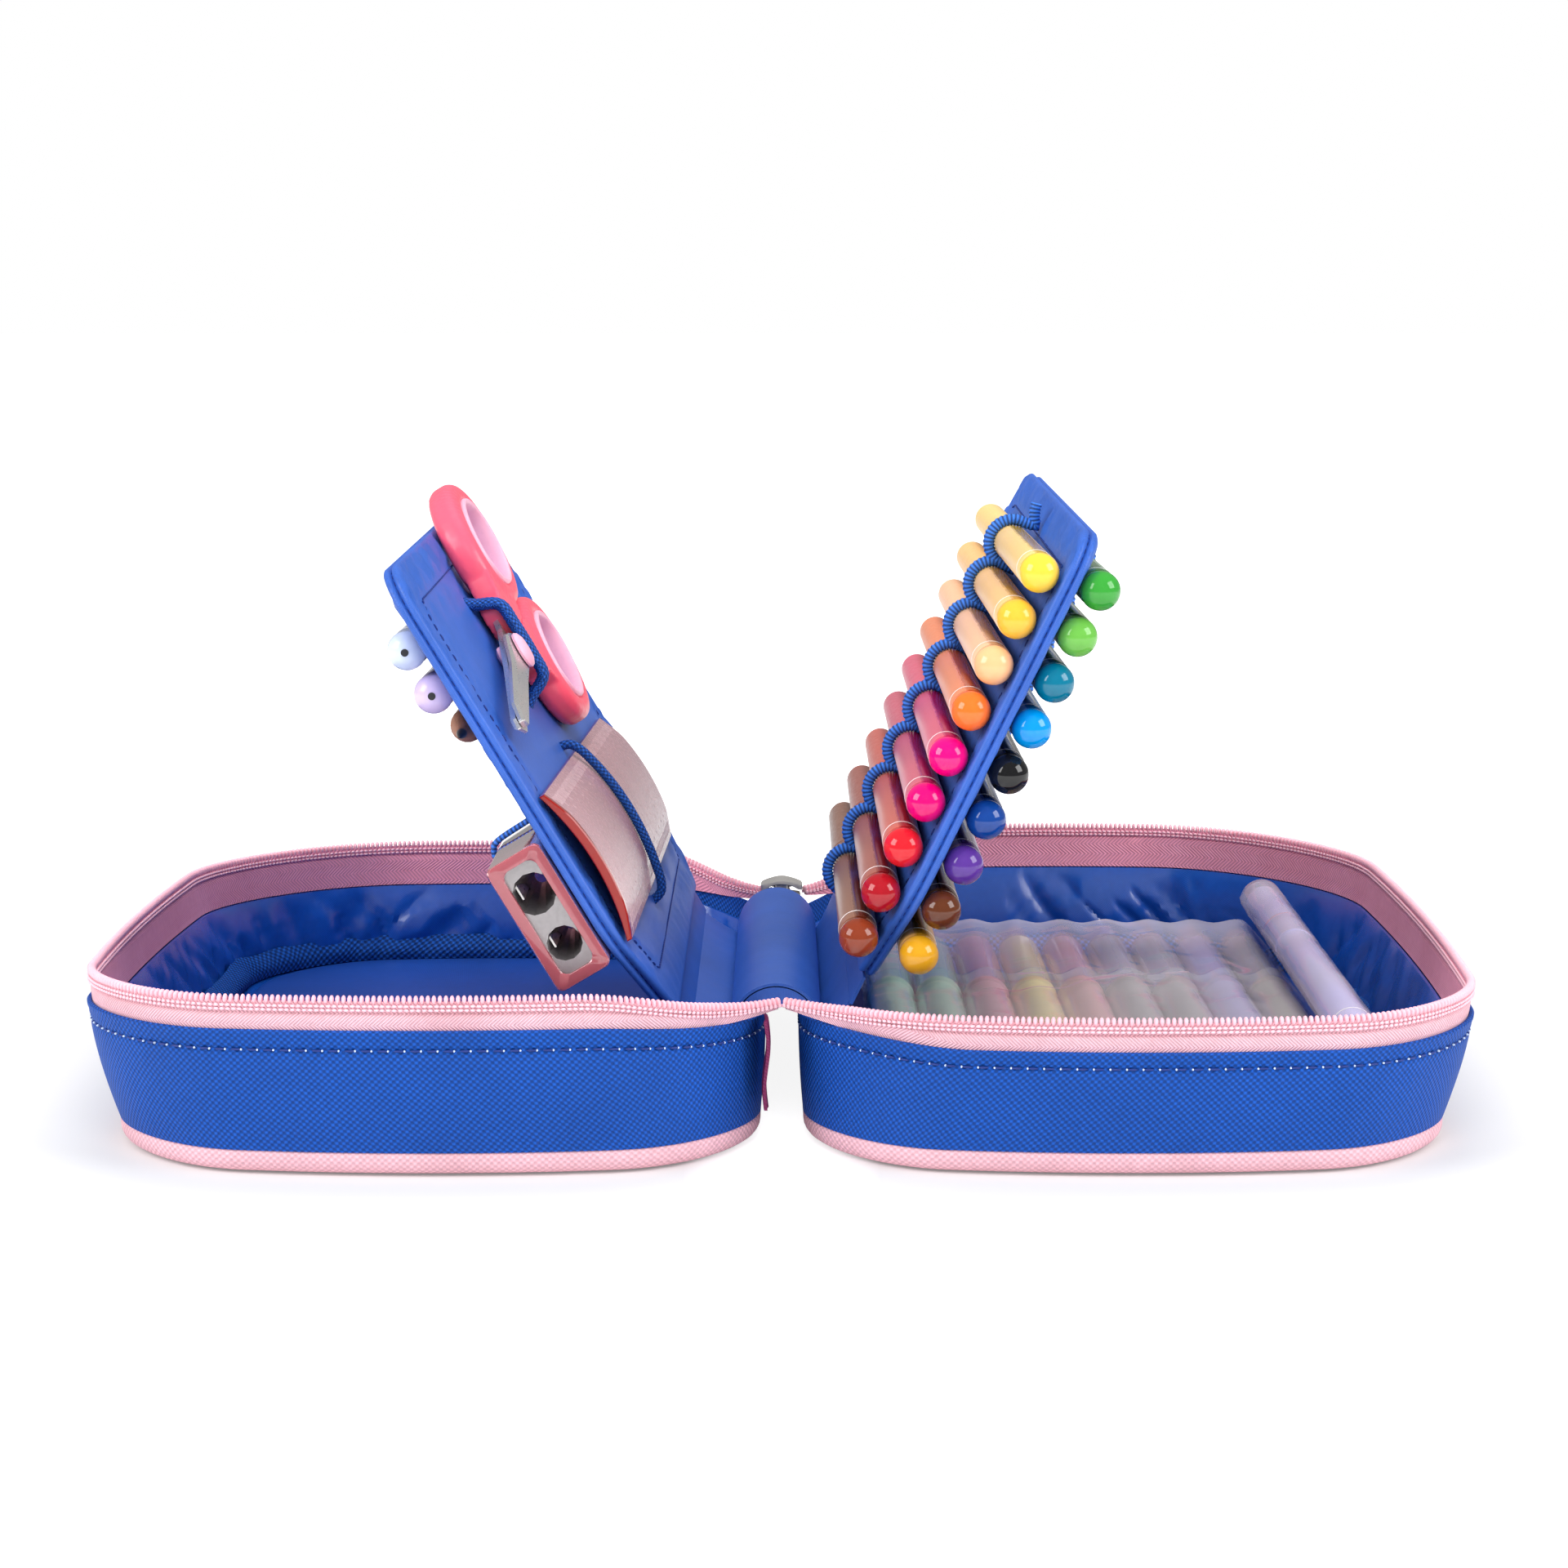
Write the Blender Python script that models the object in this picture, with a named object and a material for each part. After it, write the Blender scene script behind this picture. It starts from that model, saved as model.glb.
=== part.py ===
# Filled pencil case, opened out flat with both of its inner flaps standing.
# Units are metres and +Z is up. The trays rest on z = 0 and the case folds about a line along Y at x = 0.
# The left tray lies at -X and the right tray at +X. The zip's fastened end is at -Y.
import math

import bpy
import bmesh
from mathutils import Matrix, Vector

# Trays, as plan sizes at the rim and at the base
TRAY_WIDTH = 0.143
TRAY_DEPTH = 0.201
RIM_HEIGHT = 0.0357
RIM_SKEW = 0.0021
RIM_CORNER = 0.0344
OUTER_BULGE = 0.0039
FRONT_BULGE = 0.0081
TRAY_GAP = 0.007
BASE_WIDTH = 0.1363
BASE_DEPTH = 0.1949
BASE_CORNER = 0.0271
BASE_SHIFT = 0.00115
WALL_SWELL_SHARE = 1.7

# Base panel, wall, lining and floor board
PIPING_HEIGHT = 0.005
BASE_THICKNESS = 0.0024
BASE_LIP = 0.002
BASE_EDGE_INSET = 0.0034
BASE_EDGE_RISE = 0.0022
WALL_THICKNESS = 0.0016
WALL_TOP_THICKNESS = 0.0007
REBATE_DEPTH = 0.0046
LINING_THICKNESS = 0.0007
LINING_OVERLAP = 0.0115
LINING_OVERLAP_AT_HINGE = 0.009
BOARD_THICKNESS = 0.0013
BOARD_INSET = 0.009
BINDING_WIDTH = 0.009
BINDING_THICKNESS = 0.0006
FIT_GAP = 0.0003

# Zip tape and its chain
TAPE_SHOWN = 0.0073
TAPE_SHOWN_AT_HINGE = 0.0045
TAPE_HEIGHT = 0.0113
TAPE_HEIGHT_AT_HINGE = 0.0036
TAPE_THICKNESS = 0.0008
CHAIN_WIDTH = 0.0026
CHAIN_HEIGHT = 0.0017
CHAIN_END_Y = 0.08
CHAIN_END_X = 0.0005

# Hinge line: the rims dip towards it and it falls towards the back
HINGE_HEIGHT = 0.0286
HINGE_FALL = 0.0036
DIP_START = 0.003
DIP_REACH = 0.04
CLOSING_GAP = 0.0005

# Spine band, the satin roll between the trays, with its skirts to both flaps
BAND_RADIUS = 0.009
BAND_SHIFT = -0.0012
BAND_RISE = 0.0008
BAND_SIDE = 0.0035
BAND_THICKNESS = 0.0008
BAND_HALF_LENGTH = 0.070

# Slider and its pull at the back end of the zip, and the tab at the front end
SLIDER_WIDTH = 0.0146
SLIDER_LENGTH = 0.0078
SLIDER_ARCH = 0.0012
SLIDER_THICKNESS = 0.0013
SLIDER_Y = 0.0805
SLIDER_RISE = 0.0004
EAR_SIZE = 0.0016
EAR_HEIGHT = 0.0032
PULL_TOP = 0.0012
PULL_WIDTH = 0.0056
PULL_LENGTH = 0.024
PULL_THICKNESS = 0.0012
TAB_LENGTH = 0.019
TAB_DEPTH = 0.0085
TAB_THICKNESS = 0.0009
TAB_Y = -0.0815
TAB_TAPER_SHARE = 0.35

# Flaps: each stands on a hinge web above its own tray
LEFT_PIVOT_X = -0.0195
LEFT_PIVOT_Z = 0.0211
LEFT_LEAN_DEG = 59.0
LEFT_NEAR_EDGE = 0.1168
LEFT_FAR_EDGE = 0.1200
LEFT_FAR_CORNER = 0.022
RIGHT_PIVOT_X = 0.0146
RIGHT_PIVOT_Z = 0.0291
RIGHT_LEAN_DEG = 64.2
RIGHT_NEAR_EDGE = 0.1105
RIGHT_FAR_EDGE = 0.1135
RIGHT_FAR_CORNER = 0.014
WEB_LENGTH = 0.006
WEB_THICKNESS = 0.0006
FLAP_THICKNESS = 0.0041
FLAP_HALF_LENGTH = 0.0925
FLAP_HINGE_HALF_LENGTH = 0.074
FLAP_HINGE_RISE = 0.022
FLAP_HINGE_CORNER = 0.006
FLAP_SHOULDER = 0.018
FLAP_NEAR_CORNER = 0.011

# Fibre pens held on the flaps, numbered from the hinge
PEN_RADIUS = 0.004
PEN_LENGTH = 0.164
PEN_NECK_RADIUS = 0.0031
PEN_NEAR_Y = -0.0922
ROW_COUNT = 9
FRONT_PEN_FIRST = 0.0157
FRONT_PEN_PITCH = 0.01038
BACK_PEN_FIRST = 0.0178
BACK_PEN_PITCH = 0.01038
LEFT_PEN_FIRST = 0.0902
LEFT_PEN_PITCH = 0.0104
LEFT_PEN_NEAR_Y = -0.0835
PENCIL_T = 0.0802
PENCIL_RADIUS = 0.0036
PENCIL_LENGTH = 0.150
PENCIL_CONE = 0.018
PENCIL_LEAD_RADIUS = 0.0011
ELASTIC_THICKNESS = 0.001
ELASTIC_WIDTH = 0.0019
ELASTIC_GAP = 0.0003
ELASTIC_Y = -0.009

# Scissors on the left flap, measured from their pivot
SCISSOR_T = 0.0860
SCISSOR_Y = -0.032
SCISSOR_TURN_DEG = 11.0
BLADE_LENGTH = 0.053
BLADE_WIDTH = 0.0115
BLADE_THICKNESS = 0.0013
BLADE_TIP_WIDTH = 0.0035
SHANK_LENGTH = 0.0145
SHANK_WIDTH = 0.0085
HANDLE_THICKNESS = 0.0074
LOOP_LENGTH = 0.047
LOOP_WIDTH = 0.031
LOOP_BAND = 0.006
LOOP_CENTRE = 0.043
LOOP_SIDE = 0.0158
LINER_STEP = 0.0008
PIVOT_HOLE_RADIUS = 0.0022
PIVOT_PIN_RADIUS = 0.0019
PIVOT_CAP_RADIUS = 0.0042
PIVOT_CAP_HEIGHT = 0.0015
SCISSOR_ELASTIC_ALONG = 0.0085

# Ruler on the left flap
RULER_LENGTH = 0.158
RULER_WIDTH = 0.0345
RULER_THICKNESS = 0.002
RULER_BOW = 0.0026
RULER_T = 0.0445
RULER_NEAR_Y = -0.0905
RULER_TURN_DEG = 2.0
RULER_ELASTIC_SHARE = 0.47

# Sharpener under the left flap
BOX_NEAR_T = 0.0250
BOX_WIDTH = 0.0298
BOX_HEIGHT = 0.0128
BOX_LENGTH = 0.044
BOX_NEAR_Y = -0.0915
BOX_WALL = 0.0009
BLOCK_LENGTH = 0.022
BLOCK_END_WALL = 0.0024
LARGE_HOLE_RADIUS = 0.0045
SMALL_HOLE_RADIUS = 0.0037
HOLE_BACK_SHARE = 0.35
BLADE_SLOT = 0.0008
BLADE_SLAB = 0.0004
BOX_ELASTIC_SHARE = 0.62

# Pouch of fibre pens in the right tray
POUCH_PEN_LENGTH = 0.158
POUCH_PEN_PITCH = 0.01125
POUCH_PEN_JOIN = 0.000025
POUCH_PEN_RADIUS = POUCH_PEN_PITCH / 2 + POUCH_PEN_JOIN
POUCH_PEN_FIRST_X = 0.026
POUCH_PEN_COUNT = 9
POUCH_PEN_NEAR_Y = -0.084
FILM = 0.0003
FILM_GAP = 0.0002
FILM_MARGIN = 0.003
MARKER_RADIUS = 0.0047
MARKER_LENGTH = 0.150
MARKER_NEAR_Y = -0.079
MARKER_X = 0.1215
MARKER_TILT_DEG = 1.2

CORNER_STEPS = 6
BAND_STEPS = 10
SLIDER_STEPS = 8
TAB_STEPS = 6
OVAL_STEPS = 20
BOW_STEPS = 6
CHAIN_LEAVES = 3
CHAIN_STOP_SHARE = 0.6
SIDE_STEPS = 4
ROUND_SIDES = 12
PEN_SIDES = 10
POUCH_PEN_SIDES = 8
ARCH_STEPS = 8

FOLD_HEIGHT = RIM_HEIGHT + CLOSING_GAP
LEFT = -1
RIGHT = 1


# Scene, materials and mesh helpers
def clear_scene():
    for item in list(bpy.data.objects):
        bpy.data.objects.remove(item, do_unlink=True)
    for mesh in list(bpy.data.meshes):
        bpy.data.meshes.remove(mesh)


def material(name, colour, roughness, metallic=0.0, alpha=1.0):
    made = bpy.data.materials.new(name)
    made.use_nodes = True
    shader = made.node_tree.nodes["Principled BSDF"]
    shader.inputs["Base Color"].default_value = (*colour, 1.0)
    shader.inputs["Roughness"].default_value = roughness
    shader.inputs["Metallic"].default_value = metallic
    shader.inputs["Alpha"].default_value = alpha
    return made


def empty(name, place, parent=None):
    made = bpy.data.objects.new(name, None)
    bpy.context.collection.objects.link(made)
    made.parent = parent
    made.location = place if parent is None else place - parent.matrix_world.translation
    bpy.context.view_layer.update()
    return made


def finish(name, bm, look, parent=None, frame=None):
    """Turn a bmesh given in its own frame into a named object that hangs from its parent's origin."""
    if frame is not None:
        bmesh.ops.transform(bm, matrix=frame, verts=bm.verts)
    bmesh.ops.recalc_face_normals(bm, faces=bm.faces)
    origin = parent.matrix_world.translation if parent else Vector((0, 0, 0))
    bmesh.ops.translate(bm, vec=-origin, verts=bm.verts)
    mesh = bpy.data.meshes.new(name)
    bm.to_mesh(mesh)
    bm.free()
    mesh.shade_smooth()
    mesh.set_sharp_from_angle(angle=math.radians(35))
    made = bpy.data.objects.new(name, mesh)
    made.data.materials.append(look)
    bpy.context.collection.objects.link(made)
    made.parent = parent
    return made


def bridge(bm, first, second):
    count = len(first)
    for i in range(count):
        j = (i + 1) % count
        bm.faces.new((first[i], first[j], second[j], second[i]))


def add_sections(bm, sections, looped):
    """Skin a row of like cross-sections. A looped row has no ends, and an open one is capped."""
    rings = [[bm.verts.new(point) for point in section] for section in sections]
    for first, second in zip(rings, rings[1:]):
        bridge(bm, first, second)
    if looped:
        bridge(bm, rings[-1], rings[0])
    else:
        bm.faces.new(rings[0])
        bm.faces.new(rings[-1][::-1])


def add_prism(bm, outline, low, high):
    """Extrude an outline of (a, b) points between two heights, as (a, b, height)."""
    add_sections(bm, [[Vector((a, b, h)) for a, b in outline] for h in (low, high)], False)


def add_turned(bm, profile, centre, sides, axis="Y"):
    """Turn a profile of (distance along the axis, radius) points. A zero radius closes the end."""
    along, up = Vector((0, 1, 0)), Vector((0, 0, 1))
    if axis == "Z":
        along, up = up, along
    across = (Vector((1, 0, 0)), up)
    rings = []
    for distance, radius in profile:
        middle = centre + along * distance
        if radius == 0:
            rings.append([bm.verts.new(middle)])
            continue
        angles = [2 * math.pi * k / sides for k in range(sides)]
        rings.append([bm.verts.new(middle + radius * (across[0] * math.cos(a) + across[1] * math.sin(a)))
                      for a in angles])
    for first, second in zip(rings, rings[1:]):
        if len(first) == 1:
            for i in range(sides):
                bm.faces.new((first[0], second[i], second[(i + 1) % sides]))
        elif len(second) == 1:
            for i in range(sides):
                bm.faces.new((first[i], first[(i + 1) % sides], second[0]))
        else:
            bridge(bm, first, second)
    if len(rings[0]) > 1:
        bm.faces.new(rings[0])
    if len(rings[-1]) > 1:
        bm.faces.new(rings[-1][::-1])


def rounded(corners, steps=4):
    """Round a polygon given as (a, b, radius) corners."""
    points = []
    count = len(corners)
    for i, (a, b, radius) in enumerate(corners):
        here = Vector((a, b))
        back = (Vector(corners[i - 1][:2]) - here).normalized()
        ahead = (Vector(corners[(i + 1) % count][:2]) - here).normalized()
        if radius == 0:
            points.append((a, b))
            continue
        half = back.angle(ahead) / 2
        reach = radius / math.tan(half)
        centre = here + (back + ahead).normalized() * (radius / math.sin(half))
        start = here + back * reach - centre
        stop = here + ahead * reach - centre
        sweep = start.angle_signed(stop)
        for k in range(steps + 1):
            turn = -sweep * k / steps
            spoke = Matrix.Rotation(turn, 2) @ start
            points.append(tuple(centre + spoke))
    return points


# Tray outlines, made for the right tray and mirrored for the left
def plan(width, depth, corner, shift):
    """Points round a tray's plan from the hinge side's front end, by way of front, outer side and back."""
    near = TRAY_GAP / 2 + shift
    far = near + width
    half = depth / 2
    centres = [(near + corner, -half + corner, 180), (far - corner, -half + corner, 270),
               (far - corner, half - corner, 0), (near + corner, half - corner, 90)]
    points = []
    for i, (x, y, start) in enumerate(centres):
        for k in range(CORNER_STEPS + 1):
            angle = math.radians(start + 90 * k / CORNER_STEPS)
            points.append(Vector((x + corner * math.cos(angle), y + corner * math.sin(angle))))
        if i < 3:
            nx, ny, begin = centres[i + 1]
            angle = math.radians(begin)
            end = Vector((nx + corner * math.cos(angle), ny + corner * math.sin(angle)))
            last = points[-1]
            for k in range(1, SIDE_STEPS):
                points.append(last.lerp(end, k / SIDE_STEPS))
    middle = (near + far) / 2
    swollen = []
    for point in points:
        u = (point.x - middle) / (width / 2)
        v = point.y / half
        swollen.append(Vector((point.x + OUTER_BULGE * max(u, 0) * (1 - v * v),
                               point.y + FRONT_BULGE * v * (1 - u * u))))
    return swollen


RIM_PLAN = plan(TRAY_WIDTH, TRAY_DEPTH, RIM_CORNER, 0)
BASE_PLAN = plan(BASE_WIDTH, BASE_DEPTH, BASE_CORNER, BASE_SHIFT)
PLAN_COUNT = len(RIM_PLAN)


def inward(points, i):
    """The inward normal of a plan at its point i."""
    along = (points[(i + 1) % len(points)] - points[i - 1]).normalized()
    return Vector((-along.y, along.x))


def nearness(x):
    """How near a plan point is to the hinge, from 0 far out to 1 at the fold."""
    t = min(max((DIP_REACH - abs(x)) / (DIP_REACH - DIP_START), 0), 1)
    return t * t * (3 - 2 * t)


def blend(far, near, share):
    return far + (near - far) * share


def rim_height(hand, x, y):
    share = y / (TRAY_DEPTH / 2)
    return blend(RIM_HEIGHT + hand * RIM_SKEW * share, HINGE_HEIGHT - HINGE_FALL * share, nearness(x))


def wall_top(hand, x, y):
    return rim_height(hand, x, y) - blend(TAPE_SHOWN, TAPE_SHOWN_AT_HINGE, nearness(x))


def wall_point(i, z, inset):
    """A point on the tray's swelling wall at plan point i, at a height and an inset from the outside."""
    rise = (z - PIPING_HEIGHT) / (RIM_HEIGHT - PIPING_HEIGHT)
    rise = min(max(rise, 0), 1)
    share = 1 - (1 - rise) ** WALL_SWELL_SHARE
    point = BASE_PLAN[i].lerp(RIM_PLAN[i], share)
    side = inward(BASE_PLAN, i).lerp(inward(RIM_PLAN, i), share).normalized()
    return point + side * inset


def place(hand, point, z):
    return Vector((hand * point.x, point.y, z))


def tray_band(name, hand, look, parent, section):
    """A closed band round a tray. section gives each plan point's (height, inset) corners."""
    bm = bmesh.new()
    rows = []
    for i in range(PLAN_COUNT):
        rows.append([place(hand, wall_point(i, z, inset), z) for z, inset in section(i)])
    add_sections(bm, rows, True)
    return finish(name, bm, look, parent)


def base_panel(name, hand, look, parent):
    bm = bmesh.new()
    rings = []
    for z, inset in ((0, BASE_EDGE_INSET), (BASE_EDGE_RISE / 3, BASE_EDGE_INSET / 3), (BASE_EDGE_RISE, 0),
                     (PIPING_HEIGHT, 0), (PIPING_HEIGHT, BASE_LIP), (BASE_THICKNESS, BASE_LIP)):
        rings.append([place(hand, BASE_PLAN[i] + inward(BASE_PLAN, i) * inset, z) for i in range(PLAN_COUNT)])
    add_sections(bm, rings, False)
    return finish(name, bm, look, parent)


def side_wall(name, hand, look, parent):
    def section(i):
        x, y = RIM_PLAN[i]
        low = PIPING_HEIGHT + FIT_GAP
        top = wall_top(hand, x, y)
        step = top - REBATE_DEPTH
        levels = [blend(low, top, k / 4) for k in range(5)]
        outer = [(z, 0) for z in levels]
        return outer + [(top, WALL_TOP_THICKNESS), (step, WALL_TOP_THICKNESS), (step, WALL_THICKNESS),
                        (blend(low, step, 0.5), WALL_THICKNESS), (low, WALL_THICKNESS)]
    return tray_band(name, hand, look, parent, section)


def lining(name, hand, look, parent):
    """The fabric inside the wall, thicker at its foot where a woven binding covers its seam."""
    low = BASE_THICKNESS + FIT_GAP
    lip = BASE_LIP + FIT_GAP
    inset = WALL_THICKNESS + FIT_GAP

    def section(i):
        x, y = RIM_PLAN[i]
        drop = blend(LINING_OVERLAP, LINING_OVERLAP_AT_HINGE, nearness(x))
        top = rim_height(hand, x, y) - drop
        bound = low + BINDING_WIDTH
        outer = [(low, lip), (PIPING_HEIGHT, lip), (bound, inset), (top, inset)]
        inner = [(top, inset + LINING_THICKNESS), (bound, inset + LINING_THICKNESS),
                 (bound, inset + LINING_THICKNESS + BINDING_THICKNESS),
                 (PIPING_HEIGHT, lip + LINING_THICKNESS + BINDING_THICKNESS),
                 (low, lip + LINING_THICKNESS + BINDING_THICKNESS)]
        return outer + inner
    return tray_band(name, hand, look, parent, section)


def floor_board(name, hand, look, parent):
    bm = bmesh.new()
    low = BASE_THICKNESS + FIT_GAP
    edge = [BASE_PLAN[i] + inward(BASE_PLAN, i) * BOARD_INSET for i in range(PLAN_COUNT)]
    rings = [[place(hand, point, z) for point in edge] for z in (low, low + BOARD_THICKNESS)]
    add_sections(bm, rings, False)
    return finish(name, bm, look, parent)


def zip_strip(name, hand, look, parent, section):
    """An open band along the rim and out to the fold at both ends, short of the slider on the right tray.

    section gives its (drop below the rim, inset) corners at x."""
    bm = bmesh.new()
    first, last = CHAIN_LEAVES, PLAN_COUNT - 1 - CHAIN_LEAVES
    rows = []

    def free_row(share, end, leave):
        point = end.lerp(RIM_PLAN[leave], share)
        along = RIM_PLAN[leave] - end
        if end.y > 0:
            along = -along
        side = Vector((-along.y, along.x)).normalized()
        top = rim_height(hand, point.x, point.y)
        return [place(hand, point + side * inset, top - drop) for drop, inset in section(point.x)]
    front = Vector((CHAIN_END_X, -CHAIN_END_Y))
    back = Vector((CHAIN_END_X, CHAIN_END_Y))
    rows.append(free_row(0, front, first))
    rows.append(free_row(0.5, front, first))
    for i in range(first, last + 1):
        x, y = RIM_PLAN[i]
        top = rim_height(hand, x, y)
        rows.append([place(hand, wall_point(i, top - drop, inset), top - drop) for drop, inset in section(x)])
    stop = CHAIN_STOP_SHARE if hand == RIGHT else 0
    rows.append(free_row(blend(1, stop, 0.5), back, last))
    rows.append(free_row(stop, back, last))
    add_sections(bm, rows, False)
    return finish(name, bm, look, parent)


def zip_tape(name, hand, look, parent):
    outer = WALL_TOP_THICKNESS + FIT_GAP
    inner = outer + TAPE_THICKNESS

    def section(x):
        low = blend(TAPE_HEIGHT, TAPE_HEIGHT_AT_HINGE, nearness(x))
        high = CHAIN_HEIGHT + FIT_GAP
        return ((high, outer), (low, outer), (low, inner), (high, inner))
    return zip_strip(name, hand, look, parent, section)


def zip_teeth(name, hand, look, parent):
    def section(x):
        return ((0, 0), (CHAIN_HEIGHT, 0), (CHAIN_HEIGHT, CHAIN_WIDTH), (0, CHAIN_WIDTH))
    return zip_strip(name, hand, look, parent, section)


# Spine band, slider, pull and tab
def spine_band(look, parent):
    """The satin roll over the hinge walls, sewn to both linings at its feet and then to the flaps' webs."""
    bm = bmesh.new()
    angles = [math.pi * k / BAND_STEPS for k in range(BAND_STEPS + 1)]
    rows = []
    for y in (-BAND_HALF_LENGTH, 0, BAND_HALF_LENGTH):
        crown = HINGE_HEIGHT - HINGE_FALL * y / (TRAY_DEPTH / 2) + BAND_RISE
        centre = Vector((BAND_SHIFT, crown - BAND_RADIUS))
        arch = [centre + BAND_RADIUS * Vector((math.cos(a), math.sin(a))) for a in angles]
        foot = centre.y - BAND_SIDE
        face = wall_point(0, foot, WALL_THICKNESS + FIT_GAP + LINING_THICKNESS).x
        seat = face + FIT_GAP + BAND_THICKNESS / 2
        drop = FIT_GAP + BAND_THICKNESS / 2
        right_edge = Vector((RIGHT_PIVOT_X, RIGHT_PIVOT_Z)) - lean(RIGHT) * drop
        left_edge = Vector((LEFT_PIVOT_X, LEFT_PIVOT_Z)) - lean(LEFT) * drop
        centre_line = [right_edge, Vector((seat, foot))] + arch + [Vector((-seat, foot)), left_edge]
        outer, inner = [], []
        for i, point in enumerate(centre_line):
            before = centre_line[max(i - 1, 0)]
            after = centre_line[min(i + 1, len(centre_line) - 1)]
            along = (after - before).normalized()
            side = Vector((along.y, -along.x)) * (BAND_THICKNESS / 2)
            outer.append(point + side)
            inner.append(point - side)
        rows.append([Vector((p.x, y, p.y)) for p in outer + inner[::-1]])
    add_sections(bm, rows, False)
    return finish("spine_band", bm, look, parent)


def slider_height():
    return HINGE_HEIGHT - HINGE_FALL * SLIDER_Y / (TRAY_DEPTH / 2) + SLIDER_RISE


def slider_body(look, parent):
    """An arched plate over the ends of both chains, with two ears for the pull's pin on its back edge."""
    bm = bmesh.new()
    near, far = SLIDER_Y - SLIDER_LENGTH / 2, SLIDER_Y + SLIDER_LENGTH / 2
    rows = []
    for k in range(SLIDER_STEPS + 1):
        x = blend(-SLIDER_WIDTH / 2, SLIDER_WIDTH / 2, k / SLIDER_STEPS)
        low = slider_height() + SLIDER_ARCH * (1 - (2 * x / SLIDER_WIDTH) ** 2)
        high = low + SLIDER_THICKNESS
        rows.append([Vector((x, y, z)) for y, z in ((near, low), (far, low), (far, high), (near, high))])
    add_sections(bm, rows, False)
    body = finish("slider_body", bm, look, parent)
    pivot = pull_pivot()
    offset = PULL_WIDTH / 2 + FIT_GAP + EAR_SIZE / 2
    low = pivot.z - EAR_HEIGHT
    start = far - EAR_SIZE
    outline = [(start, low), (pivot.y - EAR_SIZE, low), (pivot.y + EAR_SIZE, pivot.z - EAR_SIZE),
               (pivot.y + EAR_SIZE, pivot.z + EAR_SIZE), (pivot.y - EAR_SIZE, pivot.z + EAR_SIZE),
               (start, low + EAR_SIZE)]
    for x in (-offset, offset):
        faces = (x - EAR_SIZE / 2, x + EAR_SIZE / 2)
        ear = bmesh.new()
        add_sections(ear, [[Vector((face, y, z)) for y, z in outline] for face in faces], False)
        combine(body, "UNION", ear, look, parent, Matrix.Identity(4))
    return body


def pull_pivot():
    """The pull's pin, behind the slider and clear of both chains."""
    return Vector((0, SLIDER_Y + SLIDER_LENGTH / 2 + EAR_SIZE, slider_height() + EAR_HEIGHT))


def slider_pull(look, parent):
    """A flat pull that hangs behind the fold, turning between the slider's ears."""
    bm = bmesh.new()
    pivot = pull_pivot()
    half = PULL_WIDTH / 2
    outline = rounded([(-half, PULL_TOP, 0), (half, PULL_TOP, 0),
                       (half, -PULL_LENGTH, half * 0.8), (-half, -PULL_LENGTH, half * 0.8)])
    sections = []
    for y in (-PULL_THICKNESS / 2, PULL_THICKNESS / 2):
        sections.append([pivot + Vector((a, y, b)) for a, b in outline])
    add_sections(bm, sections, False)
    return finish("slider_pull", bm, look, parent)


def spine_tab(look, parent):
    """A short fabric tab sewn under the front end of the left tray's tape, hanging beside its wall."""
    bm = bmesh.new()
    hang = TRAY_GAP / 2 - FIT_GAP
    top = rim_height(LEFT, hang, TAB_Y) - TAPE_HEIGHT_AT_HINGE - FIT_GAP
    rows = []
    for k in range(TAB_STEPS + 1):
        share = k / TAB_STEPS
        z = top - TAB_LENGTH * share
        half = TAB_DEPTH / 2 * (1 - TAB_TAPER_SHARE * share * share)
        middle = TAB_THICKNESS / 2 * math.sin(share * 2 * math.pi) - hang
        left, right = middle - TAB_THICKNESS / 2, middle + TAB_THICKNESS / 2
        near, far = TAB_Y - half, TAB_Y + half
        rows.append([Vector((x, y, z)) for x, y in ((left, near), (right, near), (right, far), (left, far))])
    add_sections(bm, rows, False)
    return finish("spine_tab", bm, look, parent)


# Flaps: points in a flap's frame are (distance up the flap, world y, distance off its middle plane)
def lean(hand):
    angle = math.radians(LEFT_LEAN_DEG if hand == LEFT else RIGHT_LEAN_DEG)
    return Vector((hand * math.cos(angle), math.sin(angle)))


def flap_frame(hand):
    """The matrix from a flap's frame to the world. Its third axis points to the flap's upper face."""
    up = lean(hand)
    along = Vector((up.x, 0, up.y))
    off = Vector((-hand * up.y, 0, hand * up.x))
    x, z = (LEFT_PIVOT_X, LEFT_PIVOT_Z) if hand == LEFT else (RIGHT_PIVOT_X, RIGHT_PIVOT_Z)
    pivot = Vector((x, 0, z))
    frame = Matrix((along, Vector((0, 1, 0)), off)).transposed().to_4x4()
    frame.translation = pivot
    return frame


def flap_outline(near_edge, far_edge, far_corner, start):
    """A flap's plan with its hinge corners cut to the tray's corner and its free corners rounded."""
    half = FLAP_HALF_LENGTH
    hinge = FLAP_HINGE_HALF_LENGTH
    wide = start + FLAP_HINGE_RISE
    return rounded([(start, -hinge, FLAP_HINGE_CORNER), (wide, -half, FLAP_SHOULDER),
                    (near_edge, -half, FLAP_NEAR_CORNER), (far_edge, half, far_corner),
                    (wide, half, FLAP_SHOULDER), (start, hinge, FLAP_HINGE_CORNER)])


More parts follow.
